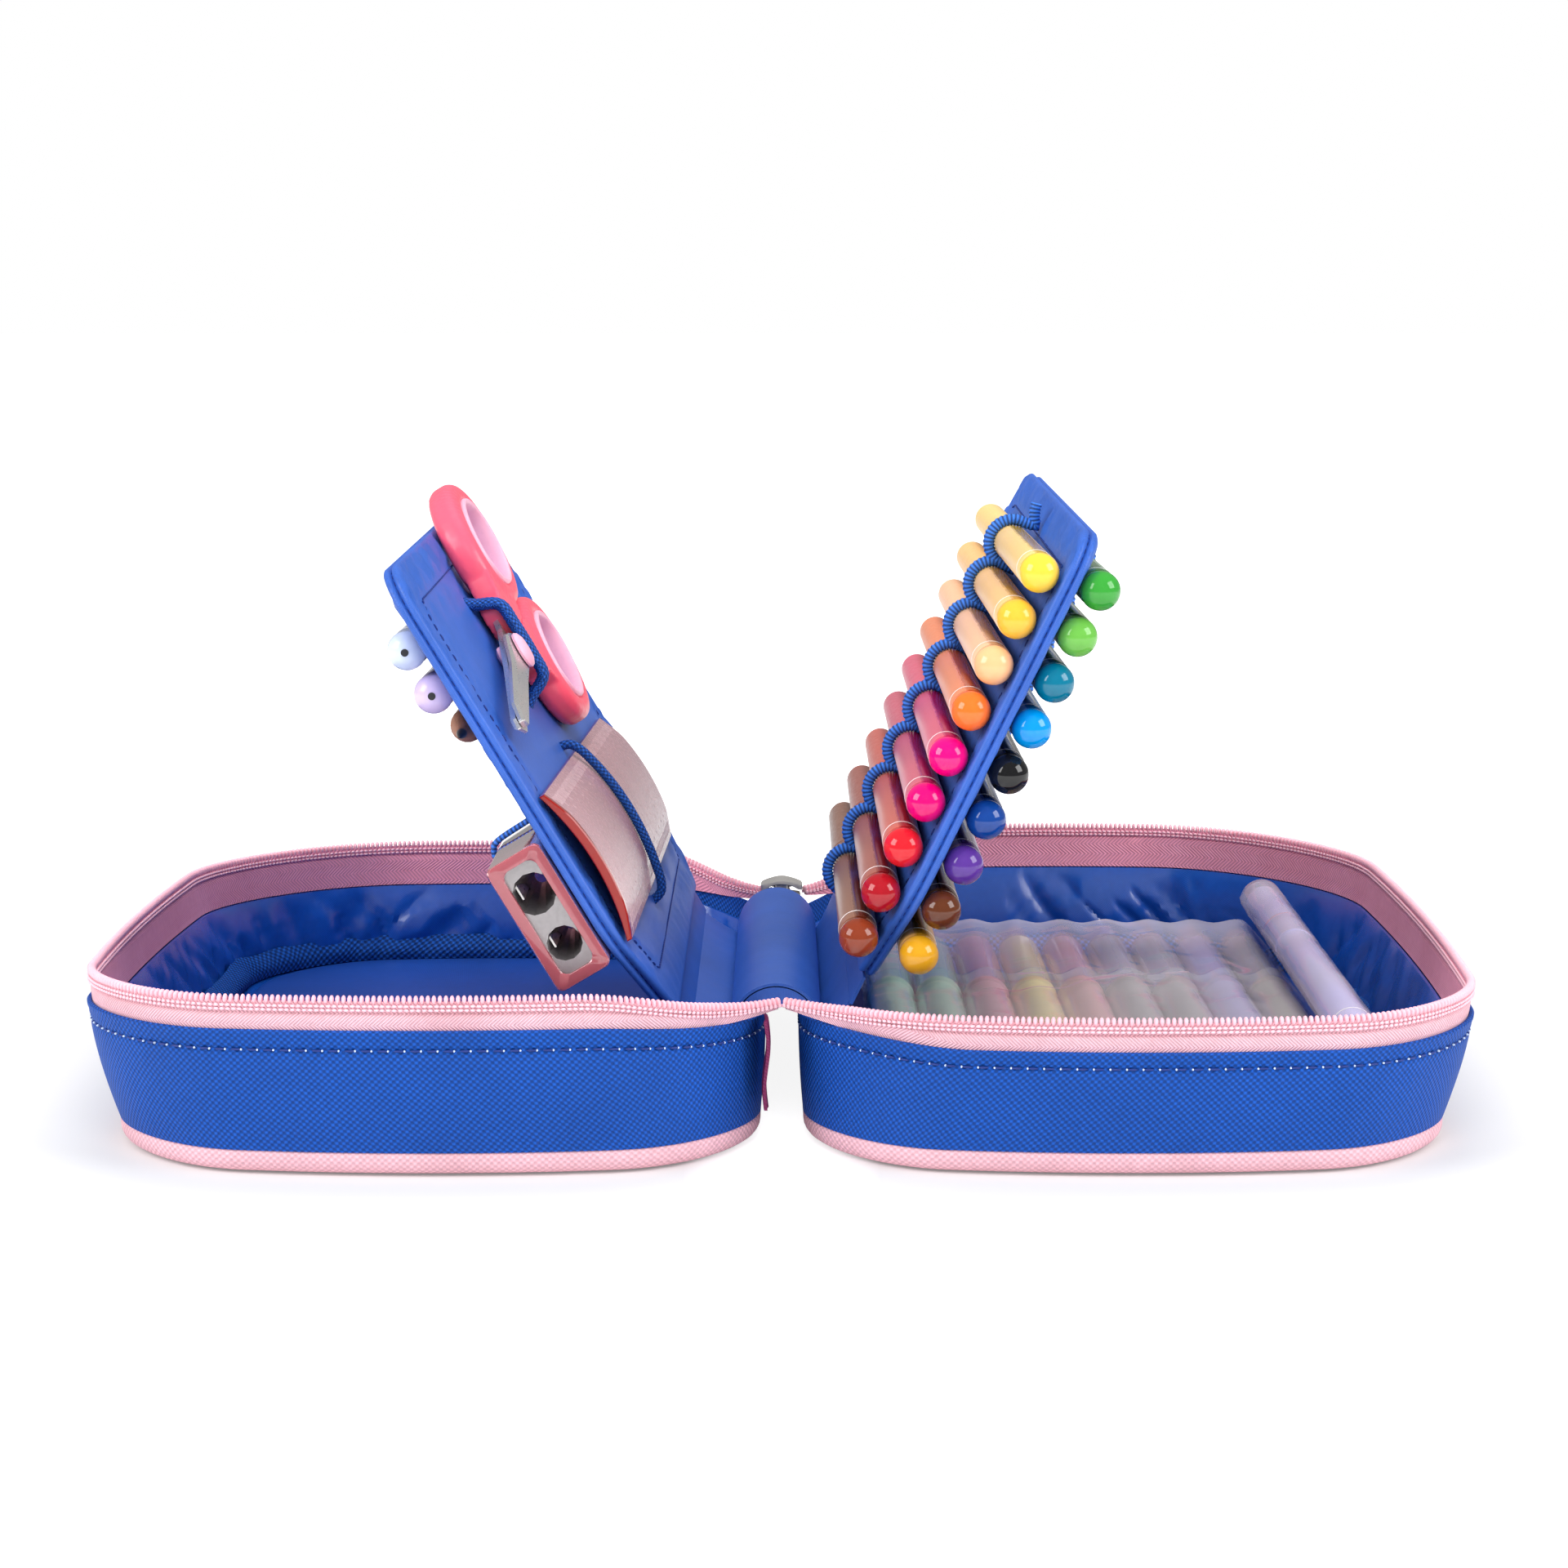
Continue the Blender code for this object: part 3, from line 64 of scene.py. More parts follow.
TAPE_HEIGHT, TAPE_HEIGHT_AT_HINGE = 11.3, 3.6
LINING_DROP, LINING_DROP_AT_HINGE, FOLD_DEPTH = 11.5, 9.0, 3.6
SEAM_SHARE, WALL_STITCH = 0.85, 3.3
CHAIN_END_X, CHAIN_END_Y, CHAIN_STOP, COIL_PITCH = 0.15, 80.0, 0.36, 1.2
GAP = 0.3

# Flap sizes
PIVOT = {LEFT: (-19.5, 21.1), RIGHT: (14.6, 29.1)}
LEAN = {LEFT: 59.0, RIGHT: 64.2}
NEAR_EDGE = {LEFT: 116.8, RIGHT: 110.5}
FAR_EDGE = {LEFT: 120.0, RIGHT: 113.5}
FAR_CORNER = {LEFT: 22.0, RIGHT: 14.0}
FLAP_START, FLAP_HALF, FLAP_HINGE_HALF = 6.45, 92.5, 74.0
FLAP_RISE, FLAP_SHOULDER, FLAP_NEAR_CORNER = 22.0, 18.0, 11.0
FACE = 2.05
SEAM_INSET = 9.0
PUFF_OPEN, PUFF_UNDER_PENS = 1.1, 0.25
PEN_RADIUS, PEN_LENGTH, PENCIL_RADIUS, LEFT_PENS_Y = 4.0, 164.0, 3.6, -83.5
ROW_COUNT = 9
ROW_PITCH = 10.38
ELASTIC_Y = -9.0


# Shader nodes
class Net:
    """Adds nodes to a tree, taking values or other nodes' sockets as inputs."""

    def __init__(self, tree):
        self.tree = tree

    def fill(self, node, ins):
        """Sets a node's inputs to values, or links them to sockets."""
        for key, value in ins.items():
            if isinstance(value, bpy.types.NodeSocket):
                self.tree.links.new(value, node.inputs[key])
            else:
                node.inputs[key].default_value = value

    def add(self, kind, ins=None, **settings):
        node = self.tree.nodes.new(kind)
        for key, value in settings.items():
            setattr(node, key, value)
        self.fill(node, ins or {})
        return node

    def group(self, tree, **ins):
        return self.add("ShaderNodeGroup", ins, node_tree=tree)

    def math(self, operation, *values):
        return self.add("ShaderNodeMath", dict(enumerate(values)), operation=operation).outputs[0]

    def mix(self, share, first, second, blend="MIX"):
        return self.add("ShaderNodeMix", {0: share, 6: first, 7: second}, data_type="RGBA",
                        blend_type=blend).outputs[2]

    def noise(self, vector, scale, detail=3.0, rough=0.5):
        return self.add("ShaderNodeTexNoise", {"Vector": vector, "Scale": scale, "Detail": detail,
                                               "Roughness": rough}).outputs["Fac"]

    def spread(self, value, low, high, to_low=0.0, to_high=1.0):
        return self.add("ShaderNodeMapRange", {"Value": value, "From Min": low, "From Max": high,
                                               "To Min": to_low, "To Max": to_high}).outputs[0]

    def split(self, vector):
        return tuple(self.add("ShaderNodeSeparateXYZ", {"Vector": vector}).outputs)

    def join(self, *parts):
        return self.add("ShaderNodeCombineXYZ", dict(enumerate(parts))).outputs[0]

    def place(self, kind):
        return self.add("ShaderNodeTexCoord").outputs[kind]

    def bump(self, strength, depth, height):
        return self.add("ShaderNodeBump", {"Strength": strength, "Distance": depth * MM,
                                           "Height": height}).outputs[0]


def shader_group(name, ins, outs, fill):
    """A node group: ins and outs are (name, kind, value) rows, and fill(net, inputs) gives the outputs."""
    tree = bpy.data.node_groups.new(name, "ShaderNodeTree")
    for label, kind, value in ins:
        socket = tree.interface.new_socket(label, in_out="INPUT", socket_type=kind)
        if value is not None:
            socket.default_value = value
    for label, kind, _ in outs:
        tree.interface.new_socket(label, in_out="OUTPUT", socket_type=kind)
    net = Net(tree)
    start = tree.nodes.new("NodeGroupInput")
    end = tree.nodes.new("NodeGroupOutput")
    made = fill(net, {label: start.outputs[label] for label, _, _ in ins})
    for label, socket in made.items():
        tree.links.new(socket, end.inputs[label])
    return tree


def fill_weave(net, ins):
    """Basket weave: staggered raised thread crossings. The second output is 1 on the thread crowns and 0 in the gaps,
    and paints shade into the gaps.
    """
    u, v, _ = net.split(ins["Vector"])
    across = net.math("COSINE", net.math("MULTIPLY", net.math("DIVIDE", u, ins["Pitch"]), math.tau))
    along = net.math("COSINE", net.math("MULTIPLY", net.math("DIVIDE", v, ins["Rise"]), math.tau))
    bump = net.math("MULTIPLY_ADD", net.math("MULTIPLY", across, along), 0.5, 0.5)
    fuzz = net.noise(ins["Vector"], 2600.0, 2.0)
    height = net.math("MULTIPLY_ADD", fuzz, 0.35, bump)
    return {"Height": height, "Crown Light": net.spread(bump, 0.3, 0.9)}


def fill_ribs(net, ins):
    """Fine ribs that may slant, or zigzag from band to band. The second output is 1 on the rib crowns and 0 in the
    grooves, and paints shade into the grooves.
    """
    u, v, _ = net.split(ins["Vector"])
    zig = net.math("PINGPONG", v, ins["Band"])
    lean = net.math("MULTIPLY", zig, ins["Slant"])
    turn = net.math("MULTIPLY", net.math("DIVIDE", net.math("ADD", u, lean), ins["Pitch"]), math.tau)
    rib = net.math("MULTIPLY_ADD", net.math("COSINE", turn), 0.5, 0.5)
    fuzz = net.noise(ins["Vector"], 2200.0, 2.0)
    return {"Height": net.math("MULTIPLY_ADD", fuzz, 0.3, rib), "Crown Light": net.spread(rib, 0.1, 0.9)}


def fill_tone(net, ins):
    """Slow drift of a colour between a darker and a lighter one, with fine mottle."""
    slow = net.noise(ins["Vector"], ins["Scale"], 2.0)
    fine = net.noise(ins["Vector"], net.math("MULTIPLY", ins["Scale"], 14.0), 2.0)
    both = net.math("MULTIPLY_ADD", fine, 0.35, net.math("MULTIPLY", slow, 0.65))
    return {"Color": net.mix(net.spread(both, 0.32, 0.68), ins["Dark"], ins["Light"]), "Mask": both}


def fill_grain(net, ins):
    """Moulded or cast surface: fine pits over a slow waviness, with thin scratches along one way."""
    pits = net.noise(ins["Vector"], ins["Scale"], 4.0)
    across, along, up = net.split(ins["Vector"])
    drawn = net.join(net.math("MULTIPLY", across, 9.0), along, net.math("MULTIPLY", up, 9.0))
    lines = net.noise(drawn, net.math("MULTIPLY", ins["Scale"], 0.4), 2.0)
    height = net.math("ADD", net.math("MULTIPLY", pits, net.math("SUBTRACT", 1.0, ins["Drawn"])),
                      net.math("MULTIPLY", lines, ins["Drawn"]))
    return {"Height": height, "Mask": net.spread(height, 0.35, 0.65)}


def fill_window(net, ins):
    """A pale printed barrel with one deep stripe along it where it is left clear."""
    _, v, _ = net.split(ins["Vector"])
    wobble = net.noise(ins["Vector"], 160.0, 1.0)
    turn = net.math("FRACT", net.math("MULTIPLY_ADD", wobble, 0.02, net.math("ADD", net.math(
        "DIVIDE", v, ins["Around"]), ins["Turn"])))
    away = net.math("ABSOLUTE", net.math("SUBTRACT", turn, 0.5))
    mask = net.spread(away, ins["Width"], net.math("ADD", ins["Width"], 0.03))
    return {"Color": net.mix(mask, ins["Deep"], ins["Pale"]), "Mask": mask}


VECTOR, FLOAT, COLOUR = "NodeSocketVector", "NodeSocketFloat", "NodeSocketColor"
WHITE = (1.0, 1.0, 1.0, 1.0)
PLACE = ("Vector", VECTOR, None)
RELIEF = [("Height", FLOAT, None), ("Crown Light", FLOAT, None)]
PAINT = [("Color", COLOUR, None), ("Mask", FLOAT, None)]
WEAVE = shader_group("basket weave", [PLACE, ("Pitch", FLOAT, 0.001), ("Rise", FLOAT, 0.001)], RELIEF, fill_weave)
RIBS = shader_group("thread ribs", [PLACE, ("Pitch", FLOAT, 0.001), ("Slant", FLOAT, 0.0), ("Band", FLOAT, 1.0)],
                    RELIEF, fill_ribs)
TONE = shader_group("colour drift", [PLACE, ("Scale", FLOAT, 30.0), ("Dark", COLOUR, WHITE),
                                     ("Light", COLOUR, WHITE)], PAINT, fill_tone)
GRAIN = shader_group("surface grain", [PLACE, ("Scale", FLOAT, 900.0), ("Drawn", FLOAT, 0.0)],
                     [("Height", FLOAT, None), ("Mask", FLOAT, None)], fill_grain)
WINDOW = shader_group("clear stripe", [PLACE, ("Around", FLOAT, 0.025), ("Turn", FLOAT, 0.53), ("Width", FLOAT, 0.06),
                                       ("Deep", COLOUR, WHITE), ("Pale", COLOUR, WHITE)], PAINT, fill_window)


def start_material(name):
    made = bpy.data.materials.new(name)
    made.use_nodes = True
    return made, Net(made.node_tree), made.node_tree.nodes["Principled BSDF"]


def shade(colour, factor):
    return (*(min(c * factor, 1.0) for c in colour), 1.0)


def drifting(net, colour, drift, scale):
    """A colour that drifts slowly between a darker and a lighter tone over the piece."""
    return net.group(TONE, Vector=net.place("Object"), Scale=scale, Dark=shade(colour, 1 - drift),
                     Light=shade(colour, 1 + drift)).outputs["Color"]


def cloth(name, colour, pattern, rough=0.8, sheen=0.2, bump=0.6, depth=0.12, gap_shade=0.35, drift=0.12,
          shine=0.3):
    """A fabric whose threads follow the piece's own map, drawn in metres. Its colour is painted darker in the gaps
    between threads, as shade.
    """
    made, net, shader = start_material(name)
    group, values = pattern
    threads = net.group(group, Vector=net.place("UV"), **values).outputs
    tone = drifting(net, colour, drift, 45.0)
    # Painted shade: the colour in the thread gaps, mixed towards a fifth of the cloth's colour.
    dark = net.mix(gap_shade, tone, shade(colour, 0.22))
    net.fill(shader, {
        "Base Color": net.mix(threads["Crown Light"], dark, tone), "Normal": net.bump(bump, depth, threads["Height"]),
        "Roughness": rough, "Sheen Weight": sheen, "Sheen Roughness": 0.4, "Sheen Tint": shade(colour, 1.6),
        "Specular IOR Level": shine})
    return made


def moulded(name, colour, rough=0.3, coat=0.0, grain=0.15, metal=0.0, drawn=0.0, scale=900.0, clear=0.0,
            drift=0.06, ior=1.5):
    """Plastic or metal with a fine grain and a slight drift of colour."""
    made, net, shader = start_material(name)
    fine = net.group(GRAIN, Vector=net.place("Object"), Scale=scale, Drawn=drawn).outputs
    net.fill(shader, {
        "Base Color": drifting(net, colour, drift, 60.0), "Normal": net.bump(grain, 0.05, fine["Height"]),
        "Roughness": net.spread(fine["Mask"], 0.0, 1.0, rough * 0.85, rough * 1.2), "Metallic": metal,
        "Coat Weight": coat, "Coat Roughness": 0.04, "Transmission Weight": clear, "IOR": ior})
    return made


def film_material(name):
    """Thin clear film: mostly seen through, hazier where it is drawn into fine creases, which are painted a darker rose
    as shade.
    """
    made, net, shader = start_material(name)
    body = net.place("Object")
    x, y, z = net.split(body)
    drawn = net.join(net.math("MULTIPLY", x, 0.7), net.math("MULTIPLY", y, 1.5), z)
    folds = net.noise(drawn, 34.0, 1.0)
    creases = net.math("ABSOLUTE", net.math("SUBTRACT", net.noise(drawn, 26.0, 0.0), 0.5))
    patches = net.spread(net.noise(body, 30.0, 0.0), 0.6, 0.66)
    lines = net.math("MULTIPLY", net.spread(creases, 0.004, 0.014, 1.0, 0.0), patches)
    cloud = net.noise(body, 20.0, 1.0)
    haze = net.math("ADD", net.spread(cloud, 0.35, 0.7, 0.2, 0.42), net.math("MULTIPLY", lines, 0.4))
    haze = net.math("ADD", haze, net.spread(y, 0.045, 0.075, 0.0, 0.3))
    veil = net.mix(cloud, (0.6, 0.56, 0.6, 1.0), (0.74, 0.66, 0.7, 1.0))
    # Painted shade: the creases take a darker rose than the veil.
    net.fill(shader, {
        "Base Color": net.mix(lines, veil, (0.5, 0.3, 0.38, 1.0)), "Normal": net.bump(0.6, 1.5, folds),
        "Alpha": haze, "Roughness": 0.08, "Specular IOR Level": 0.8})
    return made


def mm(**values):
    """A pattern's settings, given in millimetres; a slant is a plain ratio."""
    return {key.title(): value if key == "slant" else value * MM for key, value in values.items()}


LOOKS = {
    "wall": cloth("royal blue basket weave", (0.008, 0.098, 0.52), (WEAVE, mm(pitch=1.45, rise=1.35)), 0.6, 0.0,
                  bump=1.0, depth=0.3, gap_shade=0.72, shine=0.2),
    "satin": cloth("royal blue satin", (0.03, 0.115, 0.5), (RIBS, mm(pitch=0.34, slant=0.9)), 0.45, 0.22,
                   bump=0.25, depth=0.05, gap_shade=0.2, shine=0.45),
    # The lining is the same satin as the flaps, given a darker colour: painted shade for the inside of the tray.
    "lining": cloth("royal blue lining in painted shade", (0.006, 0.08, 0.44), (RIBS, mm(pitch=0.45, slant=0.9)), 0.24, 0.0,
                    bump=0.25, depth=0.05, gap_shade=0.3, shine=1.0),
    "base": cloth("rose basket weave", (0.92, 0.52, 0.59), (WEAVE, mm(pitch=1.45, rise=1.35)), 0.75, 0.0,
                  bump=0.9, depth=0.25, gap_shade=0.36, shine=0.2),
    "tape": cloth("rose herringbone tape", (0.98, 0.54, 0.62), (RIBS, mm(pitch=0.8, slant=1.1, band=2.6)), 0.7, 0.0,
                  bump=0.9, depth=0.18, gap_shade=0.45, shine=0.2),
    # The tape's inner face is a darker, more saturated copy of its outer rose: painted shade for the inside of the
    # tray.
    "inner tape": cloth("rose herringbone tape in painted shade", (1.0, 0.37, 0.5), (RIBS, mm(pitch=1.0, slant=1.1, band=2.6)),
                        0.7, 0.0, bump=0.8, depth=0.12, gap_shade=0.4, shine=0.2),
    "binding": cloth("blue coarse binding", (0.012, 0.12, 0.55), (WEAVE, mm(pitch=1.8, rise=1.8)), 0.7, 0.0,
                     bump=1.0, depth=0.35, gap_shade=0.93, shine=0.25),
    "cord": cloth("blue elastic cord", (0.04, 0.2, 0.78), (RIBS, mm(pitch=0.96, slant=0.0)), 0.55, 0.0,
                  bump=0.6, depth=0.12, gap_shade=0.95, shine=0.4),
    "braid": cloth("blue braided elastic", (0.02, 0.13, 0.58), (WEAVE, mm(pitch=1.3, rise=1.1)), 0.6, 0.1,
                   bump=1.0, depth=0.25, gap_shade=0.95, shine=0.3),
    "plum": cloth("plum ribbon", (0.2, 0.02, 0.09), (RIBS, mm(pitch=0.6, slant=0.6)), 0.6, 0.1),
    "board": cloth("blue smooth board cover", (0.006, 0.055, 0.3), (RIBS, mm(pitch=0.5, slant=0.0)), 0.5, 0.0,
                   bump=0.15, depth=0.04, gap_shade=0.15, shine=0.4),
    "coil": moulded("rose nylon coil", (0.96, 0.5, 0.58), 0.32, grain=0.1),
    "thread": moulded("navy thread", (0.008, 0.03, 0.2), 0.6),
    "pale thread": moulded("pale thread", (0.55, 0.66, 0.85), 0.6),
    "rose thread": moulded("rose thread", (0.98, 0.56, 0.64), 0.6),
    "slider": moulded("brushed slider metal", (0.5, 0.48, 0.44), 0.5, metal=0.4, drawn=0.7, grain=0.2),
    "steel": moulded("ground blade steel", (0.74, 0.73, 0.72), 0.3, metal=0.8, drawn=0.6, grain=0.08),
    "cast": moulded("cast sharpener metal", (0.42, 0.4, 0.41), 0.42, metal=0.85, grain=0.4, scale=1500.0),
    "coral": moulded("coral handle plastic", (0.96, 0.1, 0.17), 0.36, grain=0.25, coat=0.1),
    "blush": moulded("blush soft grip", (0.88, 0.45, 0.6), 0.42, grain=0.2),
    "pink box": moulded("clear pink box", (0.95, 0.45, 0.5), 0.05, clear=0.88, grain=0.03),
    "pink rim": moulded("thick pink box rim", (0.52, 0.13, 0.16), 0.08, coat=0.8, clear=0.35, grain=0.0),
    "ruler": moulded("rose ruler", (0.42, 0.25, 0.28), 0.25, grain=0.02, ior=1.25),
    "ruler edge": moulded("deep red ruler edge", (0.26, 0.008, 0.005), 0.1, grain=0.02),
    "white print": moulded("white print", (0.9, 0.86, 0.86), 0.5),
    "pale print": moulded("pale rose print", (0.66, 0.5, 0.53), 0.4),
    "film": film_material("clear pouch film"),
    "wood": moulded("pencil wood", (0.34, 0.15, 0.09), 0.7, drawn=0.8, grain=0.5, drift=0.25),
    "lead": moulded("pencil lead", (0.02, 0.02, 0.022), 0.35),
    # Painted shade for the pens' vent holes.
    "dark": moulded("vent hole in painted shade", (0.015, 0.015, 0.02), 0.4),
}


# Mesh helpers, in millimetres
def store(name, bm, looks, matrix=None, angle=35, smooth=True):
    """Writes a bmesh drawn in millimetres to a new piece in metres."""
    if matrix is not None:
        bmesh.ops.transform(bm, matrix=matrix, verts=bm.verts)
    bmesh.ops.scale(bm, vec=(MM, MM, MM), verts=bm.verts)
    mesh = bpy.data.meshes.new(name)
    bm.to_mesh(mesh)
    bm.free()
    if smooth:
        mesh.shade_smooth()
        mesh.set_sharp_from_angle(angle=math.radians(angle))
    made = bpy.data.objects.new(name, mesh)
    bpy.context.scene.collection.objects.link(made)
    for look in looks if isinstance(looks, (list, tuple)) else [looks]:
        mesh.materials.append(look)
    return made


def piece(made, body, slot=None, *nodes):
    """Lets a piece ride its body, and hides the imported nodes that it replaces. slot is not used."""
    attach(made, body)
    if nodes:
        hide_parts(*nodes)
    return made


def built(name, looks, *shapes, matrix=None, angle=35, smooth=True):
    """Stores a mesh drawn by shapes, each a function of the bmesh."""
    bm = bmesh.new()
    for shape in shapes:
        shape(bm)
    bmesh.ops.recalc_face_normals(bm, faces=bm.faces)
    return store(name, bm, looks, matrix, angle, smooth)


def skinned(name, looks, *row_sets, matrix=None, angle=35, looped=False, closed=True, capped=False):
    """Stores the skins of one or more sets of rows as one mesh."""
    return built(name, looks, *(lambda bm, rows=rows: skin(bm, rows, looped, closed, capped) for rows in row_sets),
                 matrix=matrix, angle=angle)


def flat_map(bm, faces):
    """Maps faces from above, in metres."""
    layer = bm.loops.layers.uv.verify()
    for face in faces:
        for loop in face.loops:
            loop[layer].uv = (loop.vert.co.x * MM, loop.vert.co.y * MM)


def skin(bm, rows, looped=False, closed=False, capped=False):
    """Skins rows of points, given as an array (rows, points, 3), with a map in metres along both ways."""
    rows = np.asarray(rows, float)
    count, width = rows.shape[:2]
    verts = [[bm.verts.new(p) for p in row] for row in rows]
    steps = np.linalg.norm(np.diff(np.concatenate([rows, rows[:1]]), axis=0), axis=2).mean(axis=1)
    u = np.concatenate([[0], np.cumsum(steps)]) * MM
    widths = np.linalg.norm(np.diff(np.concatenate([rows, rows[:, :1]], axis=1), axis=1), axis=2)
    v = np.concatenate([np.zeros((count, 1)), np.cumsum(widths, axis=1)], axis=1) * MM
    layer = bm.loops.layers.uv.verify()
    for i in range(count if looped else count - 1):
        j = (i + 1) % count
        for k in range(width if closed else width - 1):
            m = (k + 1) % width
            face = bm.faces.new((verts[i][k], verts[j][k], verts[j][m], verts[i][m]))
            marks = ((u[i], v[i][k]), (u[i + 1], v[j][k]), (u[i + 1], v[j][k + 1]), (u[i], v[i][k + 1]))
            for loop, mark in zip(face.loops, marks):
                loop[layer].uv = mark
    if capped:
        flat_map(bm, [bm.faces.new(row) for row in (verts[0], verts[-1][::-1])])
    return verts


def turned(bm, profile, sides=28, look=0, matrix=None, marks=None):
    """Turns (distance, radius) points about Y. marks gives a look for each step of the profile."""
    angles = np.arange(sides) * math.tau / sides
    made = []
    layer = bm.loops.layers.uv.verify()
    for distance, radius in profile:
        spots = angles if radius >= 1e-6 else [0.0]
        made.append([bm.verts.new((radius * math.cos(a), distance, radius * math.sin(a))) for a in spots])
    length = 0.0
    for step, (low, high) in enumerate(zip(made, made[1:])):
        start = length
        length += math.dist(profile[step], profile[step + 1])
        for i in range(sides):
            j = (i + 1) % sides
            if len(low) == 1:
                corners, spots = (low[0], high[j], high[i]), ((start, i), (length, i + 1), (length, i))
            elif len(high) == 1:
                corners, spots = (low[i], low[j], high[0]), ((start, i), (start, i + 1), (length, i))
            else:
                corners = (low[i], low[j], high[j], high[i])
                spots = ((start, i), (start, i + 1), (length, i + 1), (length, i))
            face = bm.faces.new(corners)
            face.material_index = marks[step] if marks else look
            reach = max(profile[step][1], profile[step + 1][1]) * math.tau / sides
            for loop, (a, b) in zip(face.loops, spots):
                loop[layer].uv = (a * MM, b * reach * MM)
    for ring in (made[0], made[-1]):
        if len(ring) > 1:
            face = bm.faces.new(ring)
            face.material_index = (marks[0] if ring is made[0] else marks[-1]) if marks else look
    if matrix is not None:
        bmesh.ops.transform(bm, matrix=matrix, verts=[v for ring in made for v in ring])


def tube_rows(path, radius, sides, ribs, pitch, flat=1.0, up=(0, 0, 1)):
    """Rows of a tube along a path, with real ribs of a height and a pitch."""
    path = resample(np.asarray(path, float), pitch / 2)
    count = len(path)
    along = np.gradient(path, axis=0)
    along /= np.linalg.norm(along, axis=1)[:, None]
    up = np.array(up, float)
    rows = []
    side = np.cross(along[0], up)
    if np.linalg.norm(side) < 0.1:
        side = np.cross(along[0], (0.3, 1.0, 0.2))
    for i in range(count):
        side = side - along[i] * side.dot(along[i])
        side /= np.linalg.norm(side)
        lift = np.cross(side, along[i])
        size = radius + (ribs if i % 2 else 0.0)
        angles = np.arange(sides) * math.tau / sides
        rows.append(path[i] + size * (np.cos(angles)[:, None] * side + flat * np.sin(angles)[:, None] * lift))
    return rows


def resample(path, step):
    lengths = np.concatenate([[0], np.cumsum(np.linalg.norm(np.diff(path, axis=0), axis=1))])
    count = max(int(round(lengths[-1] / step)), 2)
    spots = np.linspace(0, lengths[-1], count + 1)
    return np.stack([np.interp(spots, lengths, path[:, k]) for k in range(path.shape[1])], axis=1)


def smooth_path(points, per=8):
    """A smooth curve through points."""
    points = np.asarray(points, float)
    padded = np.concatenate([2 * points[:1] - points[1:2], points, 2 * points[-1:] - points[-2:-1]])
    out = []
    for i in range(1, len(padded) - 2):
        a, b, c, d = padded[i - 1], padded[i], padded[i + 1], padded[i + 2]
        for k in range(per):
            t = k / per
            out.append(0.5 * (2 * b + (c - a) * t + (2 * a - 5 * b + 4 * c - d) * t * t
                              + (3 * b - a - 3 * c + d) * t ** 3))
    out.append(points[-1])
    return np.array(out)


def ripple(points, scale, seed=0.0):
    """Smooth noise from -1 to 1 at points, with features about scale millimetres across."""
    return np.array([noise.noise(Vector((p[0] / scale + seed, p[1] / scale, p[2] / scale))) for p in points])


def rounded(corners, steps=10):
    """Rounds a polygon given as (a, b, radius) corners."""
    points = []
    count = len(corners)
    for i, (a, b, radius) in enumerate(corners):
        here = Vector((a, b))
        back = (Vector(corners[i - 1][:2]) - here).normalized()
        ahead = (Vector(corners[(i + 1) % count][:2]) - here).normalized()
        if radius == 0:
            points.append((a, b))
            continue
        half = back.angle(ahead) / 2
        reach = radius / math.tan(half)
        centre = here + (back + ahead).normalized() * (radius / math.sin(half))
        start = here + back * reach - centre
        sweep = start.angle_signed(here + ahead * reach - centre)
        for k in range(steps + 1):
            points.append(tuple(centre + Matrix.Rotation(-sweep * k / steps, 2) @ start))
    return points


# Geometry Nodes: one small piece repeated along a line
def repeat_tree(name):
    """Small rounded pieces set at even steps along a line that carries its own up direction."""
    tree = bpy.data.node_groups.new(name, "GeometryNodeTree")
    face = tree.interface
    face.new_socket("Geometry", in_out="INPUT", socket_type="NodeSocketGeometry")
    for label, value in (("Spacing", 0.001), ("Along", 0.0005), ("Across", 0.0005), ("Up", 0.0005),
                         ("Lift", 0.0)):
        face.new_socket(label, in_out="INPUT", socket_type="NodeSocketFloat").default_value = value
    face.new_socket("Finish", in_out="INPUT", socket_type="NodeSocketMaterial")
    face.new_socket("Geometry", in_out="OUTPUT", socket_type="NodeSocketGeometry")
    net = Net(tree)
    start = tree.nodes.new("NodeGroupInput").outputs
    end = tree.nodes.new("NodeGroupOutput")
    line = net.add("GeometryNodeMeshToCurve", {"Mesh": start["Geometry"]})
    even = net.add("GeometryNodeResampleCurve", {"Curve": line.outputs[0]}, mode="LENGTH")
    tree.links.new(start["Spacing"], even.inputs["Length"])
    upright = net.add("GeometryNodeInputNamedAttribute", {"Name": "up"}, data_type="FLOAT_VECTOR")
    tangent = net.add("GeometryNodeInputTangent")
    turn = net.add("FunctionNodeAxesToRotation", {"Primary Axis": upright.outputs[0],
                                                  "Secondary Axis": tangent.outputs[0]},
                   primary_axis="Z", secondary_axis="X")
    ball = net.add("GeometryNodeMeshUVSphere", {"Segments": 8, "Rings": 5, "Radius": 1.0})
    size = net.add("ShaderNodeCombineXYZ", {0: start["Along"], 1: start["Across"], 2: start["Up"]})
    lift = net.add("ShaderNodeCombineXYZ", {2: start["Lift"]})
    shaped = net.add("GeometryNodeTransform", {"Geometry": ball.outputs["Mesh"], "Translation": lift.outputs[0],
                                               "Scale": size.outputs[0]})
    soft = net.add("GeometryNodeSetShadeSmooth", {"Geometry": shaped.outputs[0]})
    placed = net.add("GeometryNodeInstanceOnPoints", {"Points": even.outputs[0], "Instance": soft.outputs[0],
                                                      "Rotation": turn.outputs[0]})
    real = net.add("GeometryNodeRealizeInstances", {"Geometry": placed.outputs[0]})
    finished = net.add("GeometryNodeSetMaterial", {"Geometry": real.outputs[0], "Material": start["Finish"]})
    tree.links.new(finished.outputs[0], end.inputs[0])
    return tree


REPEAT = repeat_tree("pieces along a line")


